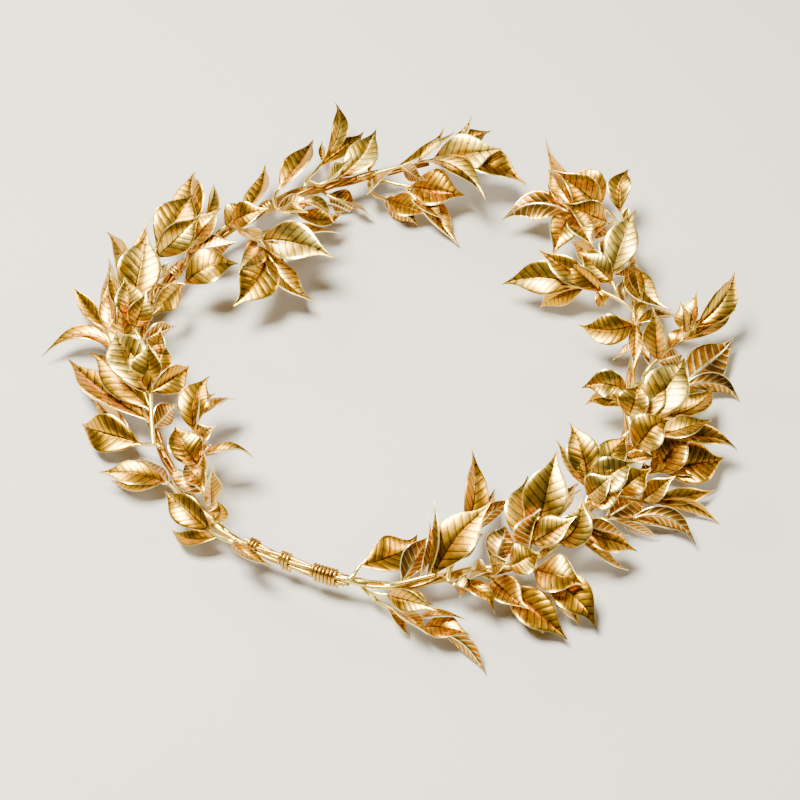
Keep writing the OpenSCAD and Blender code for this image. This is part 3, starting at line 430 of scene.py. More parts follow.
        "leaves": [
            [97, -42.5, 109, -46, 12, 3, 0, 1],
            [96, -43, 114, -40, 9, 8, 20, 0, 1],
            [97, -41.5, 119, -37.3, 8, 13, -10, 0, 3],
            [95, -43.5, 108.5, -25.5, 20, 12, 5, 0, 3],
            [93, -44, 96, -33, 17, 4, 20, -1.5],
            [92, -44, 91, -38.5, 14, 6, 150],
            [97, -28, 125, -34, 14, 7, 10, 2, 2],
            [97, -28, 116.5, -21.8, 23, 9, 30],
            [89, -35, 102.5, -20.5, 29, 12, 5, 1.5, 3],
            [86, -37, 96, -36.5, 21, 4, 10],
            [84.5, -37, 86.5, -28, 22, 7, 160, 0, 2]
        ],
    },
    "right_12": {
        "twigs": [
            [[84.5, -29, 16.5], [88, -25.5, 18], [93.5, -21.5, 19], [100, -20, 19]],
            [[87, -19, 19], [87, -14, 20], [87.5, -9, 20.5]]
        ],
        "leaves": [
            [93, -22, 110, 7, 29, 14, 0, 0, 3],
            [90, -23, 101, -1, 25, 9, 10, 0, 3],
            [87.3, -20, 92.5, -4.5, 27, 10, 5, 0, 3],
            [100, -20, 118.5, -6, 14, 8, 10, -2.5, 2],
            [87, -16, 71.8, -15, 15, 5, 25, -3, 3],
            [87.5, -9, 71.3, -7.2, 21, 9, 10, -2, 3]
        ],
    },
    "right_13": {
        "twigs": [
            [[90, -5, 12], [94, -5, 10], [99, -6, 8.5], [106, -8, 8]],
            [[93, -2, 15], [97, 2, 17.5], [104, 10, 18.5], [111, 18, 19], [116, 21.5, 19]]
        ],
        "leaves": [
            [106, -8, 128, -14.5, 1.5, 6.5, 160, 5, 2],
            [104, -8, 115.5, -11, 10, 6, 55],
            [106, -7, 129, 16, 11, 13, 175, 0, 2],
            [115, 21, 131.8, 46.5, 26, 9.5, -30, -2.5, 3],
            [107, 13, 131.5, 29.3, 14, 8, 30, -1.5, 2],
            [112, 19, 117, 37.5, 28, 7, 35],
            [111, 18, 110.7, 33, 26, 6, 45],
            [99, 4, 110, 8, 11, 8, 165],
            [99.5, 5, 100.5, 30, 34, 9, 30, 0, 3],
            [97, 2, 97, 21, 21, 8, 120, 0, 1],
            [104, 11, 110.5, 21, 22, 5, 20]
        ],
    },
    "right_14": {
        "twigs": [[[92.2, 12, 16.5], [92.4, 15, 19.5], [92.8, 18.5, 21], [93, 22, 21.5]]],
        "leaves": [
            [93, 22, 72, 21.5, 19, 10, 10, 2, 3],
            [92.5, 16, 83, 6, 17, 5, 130],
            [93, 22, 111, 21.5, 14, 8, 45, 3, 2],
            [93, 22, 99, 31.5, 20, 4, 20, 2, 2],
            [93, 22, 90.3, 1, 20, 5, 5]
        ],
    },
    "right_15": {
        "twigs": [
            [[92.5, 29, 16.5], [88, 33.5, 18], [80, 38.5, 18.5], [74, 40, 18]],
            [[87, 38, 19.5], [85.5, 44, 20.5], [83.5, 51, 21]]
        ],
        "leaves": [
            [74, 40, 44.5, 41, 13, 11, 15, -3, 3],
            [76, 39.7, 57.7, 29.5, 5, 8, 50, -2],
            [78.5, 39, 58.5, 58.3, 27, 8, 5, 0, 3],
            [81.5, 37.8, 69, 53, 27, 7, 35],
            [80, 38.5, 82, 31.5, 13, 6, 20],
            [86.3, 42, 74, 57, 27, 9, 5],
            [84.5, 47.5, 76.5, 58.3, 21, 6, 15],
            [85.3, 45, 97, 76.5, 31, 11, 10, 0, 3],
            [83.5, 51, 87, 63, 15, 7, 150, 0, 2],
            [84, 49.5, 72, 62, 13, 7, 35],
            [86.8, 39.5, 73.5, 48, 13, 7, 35, -4, 1],
            [90, 32, 89.5, 43, 20, 5, 150, 0, 2]
        ],
    },
    "right_16": {
        "twigs": [[[94, 50, 16.5], [94.3, 57, 18.5], [94, 65, 19], [91.5, 77, 19.5]]],
        "leaves": [
            [91.5, 77, 96.5, 99, 24, 8, 15, 2, 3],
            [93, 73, 95, 80.5, 23, 2.4, 0, 0, 0],
            [94, 51.5, 93, 62.5, 26, 6, 60],
            [94.3, 55, 96.5, 67, 24, 5, 60],
            [94.2, 53.5, 88, 58, 22, 3.5, 0, 0, 1],
            [94, 51, 86, 45, 16, 6, 150],
            [94, 51, 107, 29.3, 22, 9, 10, -3, 3],
            [94, 51, 96.5, 31, 21, 5, 5, 0, 2]
        ],
    },
    "right_17": {
        "twigs": [
            [[91.8, 68, 12], [89.5, 73, 11.5], [87, 77, 11], [84, 80, 11]],
            [[88, 71, 14], [84, 73.5, 16], [79, 75, 17.5], [73, 75.5, 18.5]]
        ],
        "leaves": [
            [86, 78, 65.3, 116, 1.8, 7.5, 45, 5, 2],
            [84.5, 79.5, 66.5, 99, 24, 11, 5, 0, 3],
            [84, 80, 71.5, 96.5, 17, 12, 0, -2.5, 4],
            [75, 75.5, 64, 100, 19, 7, 40, 0, 4],
            [73, 75.5, 45.3, 73, 12, 11, 170, -6, 3],
            [86, 72.5, 69.5, 82, 27, 10, 5, 0, 3],
            [78.5, 75, 63.5, 92, 24, 8, 50, 3],
            [74, 75.5, 64, 54.5, 17, 10, 5, -2.5, 3],
            [73, 75.5, 80, 60, 20, 9, 10, 0, 2],
            [86.5, 72, 78, 61, 21, 9, 150, 0, 2]
        ],
    },
}


# Chart geometry

def unit(v):
    """v at a length of one."""
    return v / np.linalg.norm(v)


def seen(x, y, z):
    """A charted point at its true height, on the sight line through the plan."""
    ground = np.array([x, y, PLAN_Z], float)
    return ground + (EYE - ground) * (z - PLAN_Z) / (EYE[2] - PLAN_Z)


def on_plan(p):
    """Where the sight line through p meets the plan."""
    return EYE + (p - EYE) * (EYE[2] - PLAN_Z) / (EYE[2] - p[2])


def placed(points):
    """Charted points in the headband's frame, in metres."""
    p = np.asarray(points, float)
    x = p[..., 0] - PLAN_MIDDLE[0]
    y = p[..., 1] - PLAN_MIDDLE[1]
    c, s = math.cos(PLAN_TURN), math.sin(PLAN_TURN)
    return np.stack([x * c - y * s, x * s + y * c, p[..., 2] + REST_LIFT], -1) * MM


def curve_at(rows, u):
    """A smooth curve through rows of numbers, at a place counted in rows."""
    last = len(rows) - 1
    k = int(min(max(math.floor(u), 0), last - 1))
    f = u - k
    a, b, c, d = (np.asarray(rows[i], float) for i in (max(k - 1, 0), k, k + 1, min(k + 2, last)))
    return (2 * b + (c - a) * f + (2 * a - 5 * b + 4 * c - d) * f ** 2 + (3 * b - a - 3 * c + d) * f ** 3) / 2


def curve(rows, n):
    """The smooth curve through the rows, in n lengths."""
    return [curve_at(rows, (len(rows) - 1) * i / n) for i in range(n + 1)]


def foot_on(line, p, flat):
    """How far p lies from a line that is drawn as flat, and the line's own point there."""
    found = []
    for a, b, fa, fb in zip(line, line[1:], flat, flat[1:]):
        d = fb - fa
        f = min(max((p - fa) @ d / (d @ d), 0), 1)
        found.append((np.linalg.norm(p - fa - d * f), a + (b - a) * f))
    return min(found, key=lambda item: item[0])


def nearest(line, p):
    """The point of a line that is nearest to p."""
    return foot_on(line, p, line)[1]


def seen_nearest(line, p):
    """The same for a point of the plan, with the line as it is seen there, and how far off it looks."""
    return foot_on(line, p, [on_plan(q) for q in line])


def stem_points(rows):
    """A stem's points, each with its radius as a fourth number."""
    return [np.append(seen(*row[:3]) + [0, 0, row[4]], row[3] / 2) for row in rows]


STEM_POINTS = {side: curve(stem_points(rows), STEM_LENGTHS[side])
               for side, rows in (("left", STEM_LEFT_ROWS), ("right", STEM_RIGHT_ROWS))}
STEM_LINES = {side: [p[:3] for p in points] for side, points in STEM_POINTS.items()}


def clear_of(line, p, far, always=False):
    """p, moved out where it comes nearer to the stem than it may."""
    q = nearest(line, p)
    if np.linalg.norm(p - q) >= far and not always:
        return p
    return q + unit(p - q) * far


def twig_lines(twigs, line):
    """The points of a sprig's twigs. A second twig forks from the first one's second point."""
    far = STEM_R + SEAT_GAP + TWIG_D / 2
    p = curve([seen(*row) for row in twigs[0]], TWIG_LENGTHS)
    first = [clear_of(line, q, far, i == 0) for i, q in enumerate(p)]
    if len(twigs) == 1:
        return [first]
    p = curve([first[1]] + [seen(*row) for row in twigs[1]], TWIG_LENGTHS)
    return [first, [first[1]] + [clear_of(line, q, far) for q in p[1:]]]


# Mesh helpers

def deselect_all():
    if bpy.context.mode != "OBJECT":
        bpy.ops.object.mode_set(mode="OBJECT")
    bpy.ops.object.select_all(action="DESELECT")


def make_active(piece):
    deselect_all()
    piece.select_set(True)
    bpy.context.view_layer.objects.active = piece


def apply_modifier(piece, kind, **values):
    make_active(piece)
    modifier = piece.modifiers.new(kind.lower(), kind)
    for name, value in values.items():
        setattr(modifier, name, value)
    bpy.ops.object.modifier_apply(modifier=modifier.name)


def smooth(piece, degrees):
    make_active(piece)
    bpy.ops.object.shade_smooth_by_angle(angle=math.radians(degrees))


def set_attribute(mesh, name, values):
    layer = mesh.attributes.get(name) or mesh.attributes.new(name, "FLOAT", "POINT")
    layer.data.foreach_set("value", np.asarray(values, np.float32))


def coordinates(mesh):
    co = np.empty(len(mesh.vertices) * 3, np.float32)
    mesh.vertices.foreach_get("co", co)
    return co.reshape(-1, 3).astype(float)


def select_where(piece, test):
    """In edit mode, selects the vertices whose number passes the test."""
    mesh = bmesh.from_edit_mesh(piece.data)
    mesh.verts.ensure_lookup_table()
    for v in mesh.verts:
        v.select = bool(test(v.index))
    mesh.select_flush_mode()
    bmesh.update_edit_mesh(piece.data)


# The leaf, modelled once at this size and copied. Its rows lie along the side veins, so they slant
LEAF_LENGTH = 30.0
LEAF_HALF_WIDTH = 5.0
VEIN_SLANT = 1.05
# Columns from the midrib to the rim: share of the half width, and height above the midrib in mm
LEAF_COLUMNS = [[0, 0], [0.05, 0.02], [0.11, 0.24], [0.34, 0.75], [0.6, 1.2], [0.84, 1.5], [0.95, 1.56],
                [1, 1.5]]
# Rows: share of the length where the row leaves the midrib, and share of the half width
LEAF_OUTLINE = [[0, 0.09], [0.025, 0.11], [0.05, 0.26], [0.09, 0.55], [0.14, 0.76], [0.2, 0.91], [0.28, 1],
                [0.36, 0.98], [0.45, 0.89], [0.55, 0.73], [0.63, 0.57], [0.71, 0.4], [0.78, 0.27],
                [0.84, 0.17], [0.9, 0.1], [0.94, 0.065], [0.97, 0.04], [1, 0.012]]
VEIN_FIRST = 0.075
VEIN_LAST = 0.8
VEIN_COUNT = 7
# Between two veins: share of the way, and height above the vein in mm
QUILT = [[0, 0], [0.14, 0.05], [0.5, 0.065], [0.86, 0.05]]
LEAF_SHEET = 0.45
# How deep the gold is in the midrib, in a side vein and beside the midrib: painted shade in the grooves on
# top, a painted highlight on the raised ribs beneath
MIDRIB_DEPTH = 1.0
VEIN_DEPTH = 0.9
BESIDE_DEPTH = 0.6
# The stalk: share of the leaf's length, and how much fuller it is beneath, in mm
STALK_SHARE = 0.1
STALK_DROP = 0.35
# Where the tip starts to flick and over what share of the length, and how many radians the rim waves
FLICK_FROM = 0.7
FLICK_SPAN = 0.3
WAVE_RATE = 7.5
# Where the blade starts to curl, and how fast
CURL_FROM = 0.55
CURL_RATE = 4
# Heights on the chart at which a leaf is palest and deepest gold: lower leaves get more painted shade
PALE_LIT_HEIGHT = 27.0
DEEP_SHADE_HEIGHT = 7.0
# The key lamp's place and the way to it. Faces that look that way are painted pale gold as painted light,
# faces turned away deeper gold as painted shade. Then how nearly a face looks that way when it is pale and
# when deep
KEY_LAMP_PLACE = np.array([-230.0, -40.0, 860.0])
KEY_LAMP_WAY = unit(placed(KEY_LAMP_PLACE) - placed(np.zeros(3)))
PALE_LIT_FACING = 0.97
DEEP_SHADE_FACING = 0.62
# How much of the tone's painted shade comes from a face's lean away from the key lamp, and the rest from the
# leaf's height
LAMP_SHADE_SHARE = 0.65


def outline_at(t):
    """The leaf's half width at a share of its length, as a share of the widest."""
    stations = [row[0] for row in LEAF_OUTLINE]
    return float(np.interp(t, stations, [row[1] for row in LEAF_OUTLINE]))


def leaf_rows():
    """Rows from foot to tip: share of the length, the quilting's height, and whether a side vein is there."""
    rows = [[0, 0, False], [0.025, 0, False], [0.05, 0, False]]
    step = (VEIN_LAST - VEIN_FIRST) / VEIN_COUNT
    for vein in range(VEIN_COUNT):
        rows += [[VEIN_FIRST + step * (vein + share), height, share == 0] for share, height in QUILT]
    rows += [[VEIN_LAST, 0, True], [0.83, 0.1, False], [0.87, 0.1, False], [0.91, 0.06, False],
             [0.95, 0, False], [1, 0, False]]
    return rows


def model_leaf():
    """The master leaf: a grid, shaped column by column and row by row, and given its sheet thickness."""
    rows = leaf_rows()
    columns = [[-share, height] for share, height in LEAF_COLUMNS[:0:-1]] + LEAF_COLUMNS
    across, along = len(columns), len(rows)
    rim = across // 2
    bpy.ops.mesh.primitive_grid_add(x_subdivisions=across - 1, y_subdivisions=along - 1, size=1)
    leaf = bpy.context.object
    leaf.name = "leaf_master"
    place = coordinates(leaf.data)
    column_of = np.round((place[:, 0] + 0.5) * (across - 1)).astype(int)
    row_of = np.round((place[:, 1] + 0.5) * (along - 1)).astype(int)
    bpy.ops.object.mode_set(mode="EDIT")
    for c, (share, height) in enumerate(columns):
        select_where(leaf, lambda i: column_of[i] == c)
        x_now = c / (across - 1) - 0.5
        slant = VEIN_SLANT * abs(share) * LEAF_HALF_WIDTH
        bpy.ops.transform.translate(value=(share * LEAF_HALF_WIDTH - x_now, slant, height))
    for r, (share, quilt, _) in enumerate(rows):
        y_now = r / (along - 1) - 0.5
        start = share * LEAF_LENGTH
        select_where(leaf, lambda i: row_of[i] == r)
        bpy.ops.transform.translate(value=(0, start - y_now, 0))
        if quilt:
            select_where(leaf, lambda i: row_of[i] == r and 1 < abs(column_of[i] - rim) < rim)
            bpy.ops.transform.translate(value=(0, 0, quilt))
            select_where(leaf, lambda i: row_of[i] == r)
        size = outline_at(share)
        bpy.ops.transform.resize(value=(size, size, size), center_override=(0, start, 0))
    bpy.ops.object.mode_set(mode="OBJECT")
    # The veins and the midrib are marked before the sheet gets its thickness
    is_vein = np.array([vein for _, _, vein in rows])
    from_middle = np.abs(column_of - rim)
    groove = np.where(is_vein[row_of] & (from_middle < rim - 1), VEIN_DEPTH, 0.0)
    groove = np.where(from_middle == 0, MIDRIB_DEPTH, groove)
    groove = np.where(from_middle == 1, np.maximum(groove, BESIDE_DEPTH), groove)
    set_attribute(leaf.data, "groove", groove)
    set_attribute(leaf.data, "rim", (from_middle == rim).astype(float))
    return leaf


def finish_leaf(leaf):
    """Thickness, a fuller stalk, and marks for the underside and for the place along and across the leaf."""
    top_count = len(leaf.data.vertices)
    apply_modifier(leaf, "SOLIDIFY", thickness=LEAF_SHEET, offset=0)
    if coordinates(leaf.data)[:top_count, 2].mean() < coordinates(leaf.data)[top_count:, 2].mean():
        raise ValueError("the leaf's upper side is not the one that was drawn")
    place = coordinates(leaf.data)
    is_under = np.arange(len(place)) >= top_count
    make_active(leaf)
    bpy.ops.object.mode_set(mode="EDIT")
    select_where(leaf, lambda i: is_under[i] and place[i, 1] < STALK_SHARE * LEAF_LENGTH)
    bpy.ops.transform.translate(value=(0, 0, -STALK_DROP))
    bpy.ops.object.mode_set(mode="OBJECT")
    # The underside mark lets the gilding paint undersides deeper gold as painted shade
    set_attribute(leaf.data, "underside", is_under.astype(float))
    set_attribute(leaf.data, "along", place[:, 1] / LEAF_LENGTH)
    set_attribute(leaf.data, "across", place[:, 0] / LEAF_HALF_WIDTH)
    smooth(leaf, LEAF_SMOOTH)
    return leaf


class LeafManner:
    """How one leaf differs from the next: its fold, twist, waviness and tone."""

    def __init__(self):
        self.fold = random.uniform(0.6, 1.35)
        self.twist = math.radians(random.uniform(-16, 16))
        self.wave = random.uniform(0.1, 0.4)
        self.wave_at = random.uniform(0, 6.28)
        self.curl = random.uniform(-1.2, 1.8)
        self.flick = random.uniform(-1.3, 1.3)
        self.tone = random.uniform(-0.25, 0.25)


def bent_leaf(place, row, foot, manner):
    """The master leaf's points laid along one charted leaf, in chart millimetres."""
    tip = seen(*row[2:5])
    width, turn = row[5], math.radians(row[6])
    bow, lift, flick = (list(row[7:]) + [0, 2, 0][len(row) - 7:])[:3]
    flick += manner.flick * np.linalg.norm(tip - foot) / LEAF_LENGTH
    to_view = unit(EYE - (foot + tip) / 2)
    chord = unit(tip - foot)

    def square(v, along):
        v = v - along * np.sum(v * along, axis=-1, keepdims=True)
        return v / np.linalg.norm(v, axis=-1, keepdims=True)

    to_eye = square(to_view, chord)
    side = np.cross(to_eye, chord)
    face = square(to_view * (1 - FACE_UP) + np.array([0, 0, FACE_UP]), chord)
    turned = face * math.cos(turn) + np.cross(face, chord) * math.sin(turn)

    def at(t):
        t = t[:, None]
        f = np.maximum(0, (t - FLICK_FROM) / FLICK_SPAN)
        rise = 4 * t * (1 - t)
        return foot + (tip - foot) * t + rise * (side * bow + to_eye * lift) + side * flick * (f * f - t)

    t = place[:, 1] / LEAF_LENGTH
    scale = width * LEAF_BROAD / (2 * LEAF_HALF_WIDTH)
    middle = at(t)
    along = at(t + 0.01) - at(t - 0.01)
    along /= np.linalg.norm(along, axis=1, keepdims=True)
    up = square(np.broadcast_to(turned, along.shape), along)
    across = np.cross(up, along)
    x, z = place[:, 0].copy(), place[:, 2] * manner.fold
    z += manner.wave * np.sin(WAVE_RATE * t + manner.wave_at + np.sign(x)) * (x / LEAF_HALF_WIDTH) ** 2
    z += manner.curl * np.maximum(0, t - CURL_FROM) ** 2 * CURL_RATE
    angle = manner.twist * t
    x, z = x * np.cos(angle) - z * np.sin(angle), x * np.sin(angle) + z * np.cos(angle)
    return middle + (across * x[:, None] + up * z[:, None]) * scale


def new_object(name, mesh):
    piece = bpy.data.objects.new(name, mesh)
    bpy.context.scene.collection.objects.link(piece)
    return piece


def leaf_piece(name, row, foot, manner):
    """A leaf copied from the master with a mesh of its own, bent to its row."""
    mesh = MASTER.data.copy()
    mesh.name = name
    bent = placed(bent_leaf(MASTER_PLACE, row, foot, manner))
    mesh.vertices.foreach_set("co", bent.astype(np.float32).ravel())
    mesh.update()
    # Painted light and shade: low leaves, and faces that lean away from the key lamp, are deeper gold. The
    # leaf's own random tone is added to the height's share
    height = (foot[2] + row[4]) / 2
    low = min(max(manner.tone + (PALE_LIT_HEIGHT - height) / (PALE_LIT_HEIGHT - DEEP_SHADE_HEIGHT), 0), 1)
    normals = np.empty(3 * len(mesh.vertices), dtype=np.float32)
    mesh.vertex_normals.foreach_get("vector", normals)
    facing = normals.reshape(-1, 3) @ KEY_LAMP_WAY
    turned_away_shade = np.clip((PALE_LIT_FACING - facing) / (PALE_LIT_FACING - DEEP_SHADE_FACING), 0, 1)
    set_attribute(mesh, "tone", (1 - LAMP_SHADE_SHARE) * low + LAMP_SHADE_SHARE * turned_away_shade)
    return new_object(name, mesh)


def tube(name, points, radii, resolution):
    """A round wire along charted points, with its own radius at each point."""
    wire = bpy.data.curves.new(name, "CURVE")
    wire.dimensions = "3D"
    wire.bevel_depth = MM
    wire.bevel_resolution = resolution
    wire.use_fill_caps = True
    spline = wire.splines.new("POLY")
    spline.points.add(len(points) - 1)
    for point, p, r in zip(spline.points, placed(points), radii):
        point.co = (*p, 1)
        point.radius = r
    piece = new_object(name, wire)
    make_active(piece)
    bpy.ops.object.convert(target="MESH")
    piece = bpy.context.object
    piece.data.name = name
    for mark in ("groove", "rim", "underside", "along", "across"):
        set_attribute(piece.data, mark, np.zeros(len(piece.data.vertices)))
    set_attribute(piece.data, "tone", np.full(len(piece.data.vertices), TWIG_TONE))
    smooth(piece, WIRE_SMOOTH)
    return piece


def join(name, parts):
    """The parts as one piece of that name."""
    make_active(parts[0])
    for part in parts:
        part.select_set(True)
    if len(parts) > 1:
        bpy.ops.object.join()
    piece = bpy.context.object
    piece.name = name
    piece.data.name = name
    return piece


def smooth_line(points, per_length=4):
    return curve(points, (len(points) - 1) * per_length)


# Pieces

def sprig_piece(name, twigs, leaves, side):
    """A sprig: its twigs, from inside the stem, and a leaf for each row."""
    line = STEM_LINES[side]
    lines = twig_lines(twigs, line)
    parts = []
    for k, points in enumerate(lines):
        start = [nearest(line, points[0])] if k == 0 else []
        path = smooth_line(start + points)
        radii = np.linspace(TWIG_D / 2, TWIG_END_D / 2, len(path)) * TWIG_SHARE
        parts.append(tube(f"{name}_twig_{k}", path, radii, 3))
    for k, row in enumerate(leaves):
        p = np.array([row[0], row[1], PLAN_Z])
        foot = min((seen_nearest(points, p) for points in lines), key=lambda item: item[0])[1]
        parts.append(leaf_piece(f"{name}_leaf_{k}", row, foot, LeafManner()))
    return join(name, parts)


def stem_piece(name, side):
    """A main stem: three strands twisted together, with a small knot where each sprig leaves it."""
    points = STEM_POINTS[side]
    per_length = 5
    fine = np.array(smooth_line(points, per_length))
    middle, radius = fine[:, :3], fine[:, 3]
    along = np.gradient(middle, axis=0)
    along /= np.linalg.norm(along, axis=1, keepdims=True)
    flat = np.cross(along, [0, 0, 1])
    flat /= np.linalg.norm(flat, axis=1, keepdims=True)
    top = np.cross(flat, along)
    run = np.concatenate([[0], np.cumsum(np.linalg.norm(np.diff(middle, axis=0), axis=1))])
    full = np.interp(run / run[-1], *STEM_FULLNESS[side])
    parts = []
    for strand in range(STRANDS):
        turn = (run / STRAND_PITCH + strand / STRANDS) * 2 * math.pi
        round_stem = np.cos(turn)[:, None] * flat + np.sin(turn)[:, None] * top
        out = round_stem * (radius * full * STRAND_OUT)[:, None]
        parts.append(tube(f"{name}_strand_{strand}", middle + out, radius * full * STRAND_R, 3))
    seats = [nearest(STEM_LINES[side], twig_lines(s["twigs"], STEM_LINES[side])[0][0])
             for key, s in SPRIGS.items() if key.startswith(side)]
    for k, seat in enumerate(seats):
        near = int(np.argmin(np.linalg.norm(middle - seat, axis=1)))
        near = min(max(near, KNOT_REACH), len(middle) - KNOT_REACH - 1)
        span = middle[near - KNOT_REACH:near + KNOT_REACH + 1]
        parts.append(tube(f"{name}_knot_{k}", span, radius[near] * np.array(KNOT_PROFILE), 4))
    if side == "right":
        parts += filler_wires(name)
    stem = join(name, parts)
    # The stem is paler gold at the joint and darker towards the open end
    places = coordinates(stem.data) / MM
    line = placed(middle) / MM
    apart = np.linalg.norm(places[:, None, :] - line[None, ::per_length, :], axis=2)
    share = np.argmin(apart, axis=1) / (len(line) / per_length)
    set_attribute(stem.data, "tone", np.interp(share, *STEM_TONES[side]))
    return stem


def filler_wires(name):
    """Two thin wires laid in the valleys between the two stems along the joint."""
    points = stem_points(STEM_RIGHT_ROWS)
    wires = []
    for way in (-1, 1):
        path = []
        for u in np.linspace(*FILLER_SPAN, FILLER_POINTS):
            c = curve_at(points, u)
            along = unit(curve_at(points, u + 0.05)[:3] - c[:3])
            path.append(c[:3] - [0, 0, STRAND_RISE] + way * FILLER_OUT * unit(np.cross(along, [0, 0, 1])))
        wires.append(tube(f"{name}_filler_{way}", path, [FILLER_R] * len(path), 2))
    return wires


def winding_piece(name, rows, start, turns, drop):
    """Binding wire wound round one stem, or round two strands that lie one over the other."""
    points = stem_points(rows)
    row_mm = np.linalg.norm(curve_at(points, start + 0.5)[:3] - curve_at(points, start)[:3]) * 2
    path = []
    for k in range(turns * WINDING_PLACES + 1):
        u = start + WRAP_PITCH * k / WINDING_PLACES / row_mm
        c = curve_at(points, u)
        along = unit(curve_at(points, u + 0.05)[:3] - c[:3])
        side = unit(np.cross(along, [0, 0, 1]))
        top = np.cross(side, along)
        a = 2 * math.pi * k / WINDING_PLACES
        r = c[3] + WINDING_CLEAR + WRAP_WIRE_D / 2
        rise = drop * max(-1, min(1, WINDING_SQUARE * math.sin(a)))
        path.append(c[:3] + [0, 0, rise - drop] + r * (math.cos(a) * side + math.sin(a) * top))
    line = smooth_line(path, 2)
    wire = tube(name, line, [WRAP_WIRE_D / 2 + WINDING_GAIN] * len(line), 2)
    set_attribute(wire.data, "tone", np.full(len(wire.data.vertices), WINDING_TONE))
    return wire


# Finishes

# Pale gold of the painted highlight on leaf rims and on the raised ribs of undersides
PAINTED_RIM_AND_RIB_HIGHLIGHT = (1, 0.9, 0.4, 1)
PALE_GREY = (0.44, 0.42, 0.39, 1)
# How strongly the floor's distance and the backdrop glow
DISTANCE_GLOW = 1.8


def add(tree, kind, **values):
    """A node with its settings and input values. An input's name has _ for each space."""
    node = tree.nodes.new(kind)
    for name, value in values.items():
        if hasattr(node, name):
            setattr(node, name, value)
        else:
            node.inputs[name.replace("_", " ")].default_value = value
    return node


def new_group(name, inputs, outputs):
    """A node group with its sockets, and its two end nodes."""
    group = bpy.data.node_groups.new(name, "ShaderNodeTree")
    for socket, kind, value in inputs:
        made = group.interface.new_socket(socket, in_out="INPUT", socket_type=kind)
        made.default_value = value
    for socket, kind in outputs:
        group.interface.new_socket(socket, in_out="OUTPUT", socket_type=kind)
    return group, group.nodes.new("NodeGroupInput"), group.nodes.new("NodeGroupOutput")


def worked(group, operation, *values):
    """The result of a sum. Each value is a number or the socket that gives it."""
    node = add(group, "ShaderNodeMath", operation=operation)
    for slot, value in zip(node.inputs, values):
        if isinstance(value, bpy.types.NodeSocket):
            group.links.new(value, slot)
        else:
            slot.default_value = value
    return node.outputs[0]


def blend(group, factor, first, second):
    """The first colour turning into the second. Each is a colour or the socket that gives it."""
    node = add(group, "ShaderNodeMix", data_type="RGBA", clamp_factor=True)
    group.links.new(factor, node.inputs["Factor"])
    for name, colour in (("A", first), ("B", second)):
        if isinstance(colour, bpy.types.NodeSocket):
            group.links.new(colour, node.inputs[name])
        else:
            node.inputs[name].default_value = colour
    return node.outputs["Result"]


def gilding_group():
    """Gilding that drifts between two golds, by noise and by a tone that carries painted light and shade on
    leaves. Grooves and undersides get painted shade, and rims and underside ribs a painted highlight.
    """
    group, given, out = new_group(
        "gilding",
        [("Pale Gold", "NodeSocketColor", (1, 0.8, 0.5, 1)),
         ("Deep Gold", "NodeSocketColor", (0.8, 0.45, 0.15, 1)),
         ("Under Painted Shade", "NodeSocketColor", (0.8, 0.35, 0.06, 1)),
         ("Shade", "NodeSocketColor", (0.3, 0.1, 0.02, 1)),
         ("Drift Scale", "NodeSocketFloat", 90.0),
         ("Base Roughness", "NodeSocketFloat", 0.25)],
        [("Color", "NodeSocketColor"), ("Roughness", "NodeSocketFloat"), ("Metallic", "NodeSocketFloat")])
    link = group.links.new
    tone, groove, under, rim = (add(group, "ShaderNodeAttribute", attribute_name=name).outputs["Fac"]
                                for name in ("tone", "groove", "underside", "rim"))
    spot = add(group, "ShaderNodeTexCoord").outputs["Object"]
    # The drift between the two golds, moved by the tone
    drift = add(group, "ShaderNodeTexNoise", Detail=4.0, Roughness=0.6)
    link(spot, drift.inputs["Vector"])
    link(given.outputs["Drift Scale"], drift.inputs["Scale"])
    lean = worked(group, "MULTIPLY_ADD", tone, 0.8, -0.4)
    share = worked(group, "ADD", drift.outputs["Fac"], lean)
    ramp = add(group, "ShaderNodeMapRange", From_Min=0.25, From_Max=0.75)
    link(share, ramp.inputs["Value"])
    golds = blend(group, ramp.outputs["Result"], given.outputs["Pale Gold"], given.outputs["Deep Gold"])
    # Painted shade on the undersides. Then the grooves: painted shade on top, and a painted highlight on the
    # raised ribs beneath. The rims' painted highlight comes last
    two_sided = blend(group, worked(group, "MULTIPLY", under, 0.85), golds, given.outputs["Under Painted Shade"])
    rib = blend(group, under, given.outputs["Shade"], PAINTED_RIM_AND_RIB_HIGHLIGHT)
    shaded = blend(group, worked(group, "MULTIPLY", groove, 1.1), two_sided, rib)
    link(blend(group, rim, shaded, PAINTED_RIM_AND_RIB_HIGHLIGHT), out.inputs["Color"])
    link(worked(group, "MULTIPLY_ADD", rim, -0.15, 1), out.inputs["Metallic"])
    smear = add(group, "ShaderNodeTexNoise", Scale=420.0, Detail=3.0)
    link(spot, smear.inputs["Vector"])
    rough = worked(group, "MULTIPLY_ADD", smear.outputs["Fac"], 0.22, given.outputs["Base Roughness"])
    link(rough, out.inputs["Roughness"])
    return group


def grain_group():
    """Fine hammered and brushed grain, as a height."""
    group, given, out = new_group(
        "grain", [("Scale", "NodeSocketFloat", 900.0)], [("Height", "NodeSocketFloat")])
    link = group.links.new
    fine = add(group, "ShaderNodeTexNoise", Detail=5.0, Roughness=0.65)
    link(add(group, "ShaderNodeTexCoord").outputs["Object"], fine.inputs["Vector"])
    link(given.outputs["Scale"], fine.inputs["Scale"])
    link(fine.outputs["Fac"], out.inputs["Height"])
    return group


def new_finish(name):
    """A material, its tree and its shader."""
    finish = bpy.data.materials.new(name)
    finish.use_nodes = True
    return finish, finish.node_tree, finish.node_tree.nodes["Principled BSDF"]


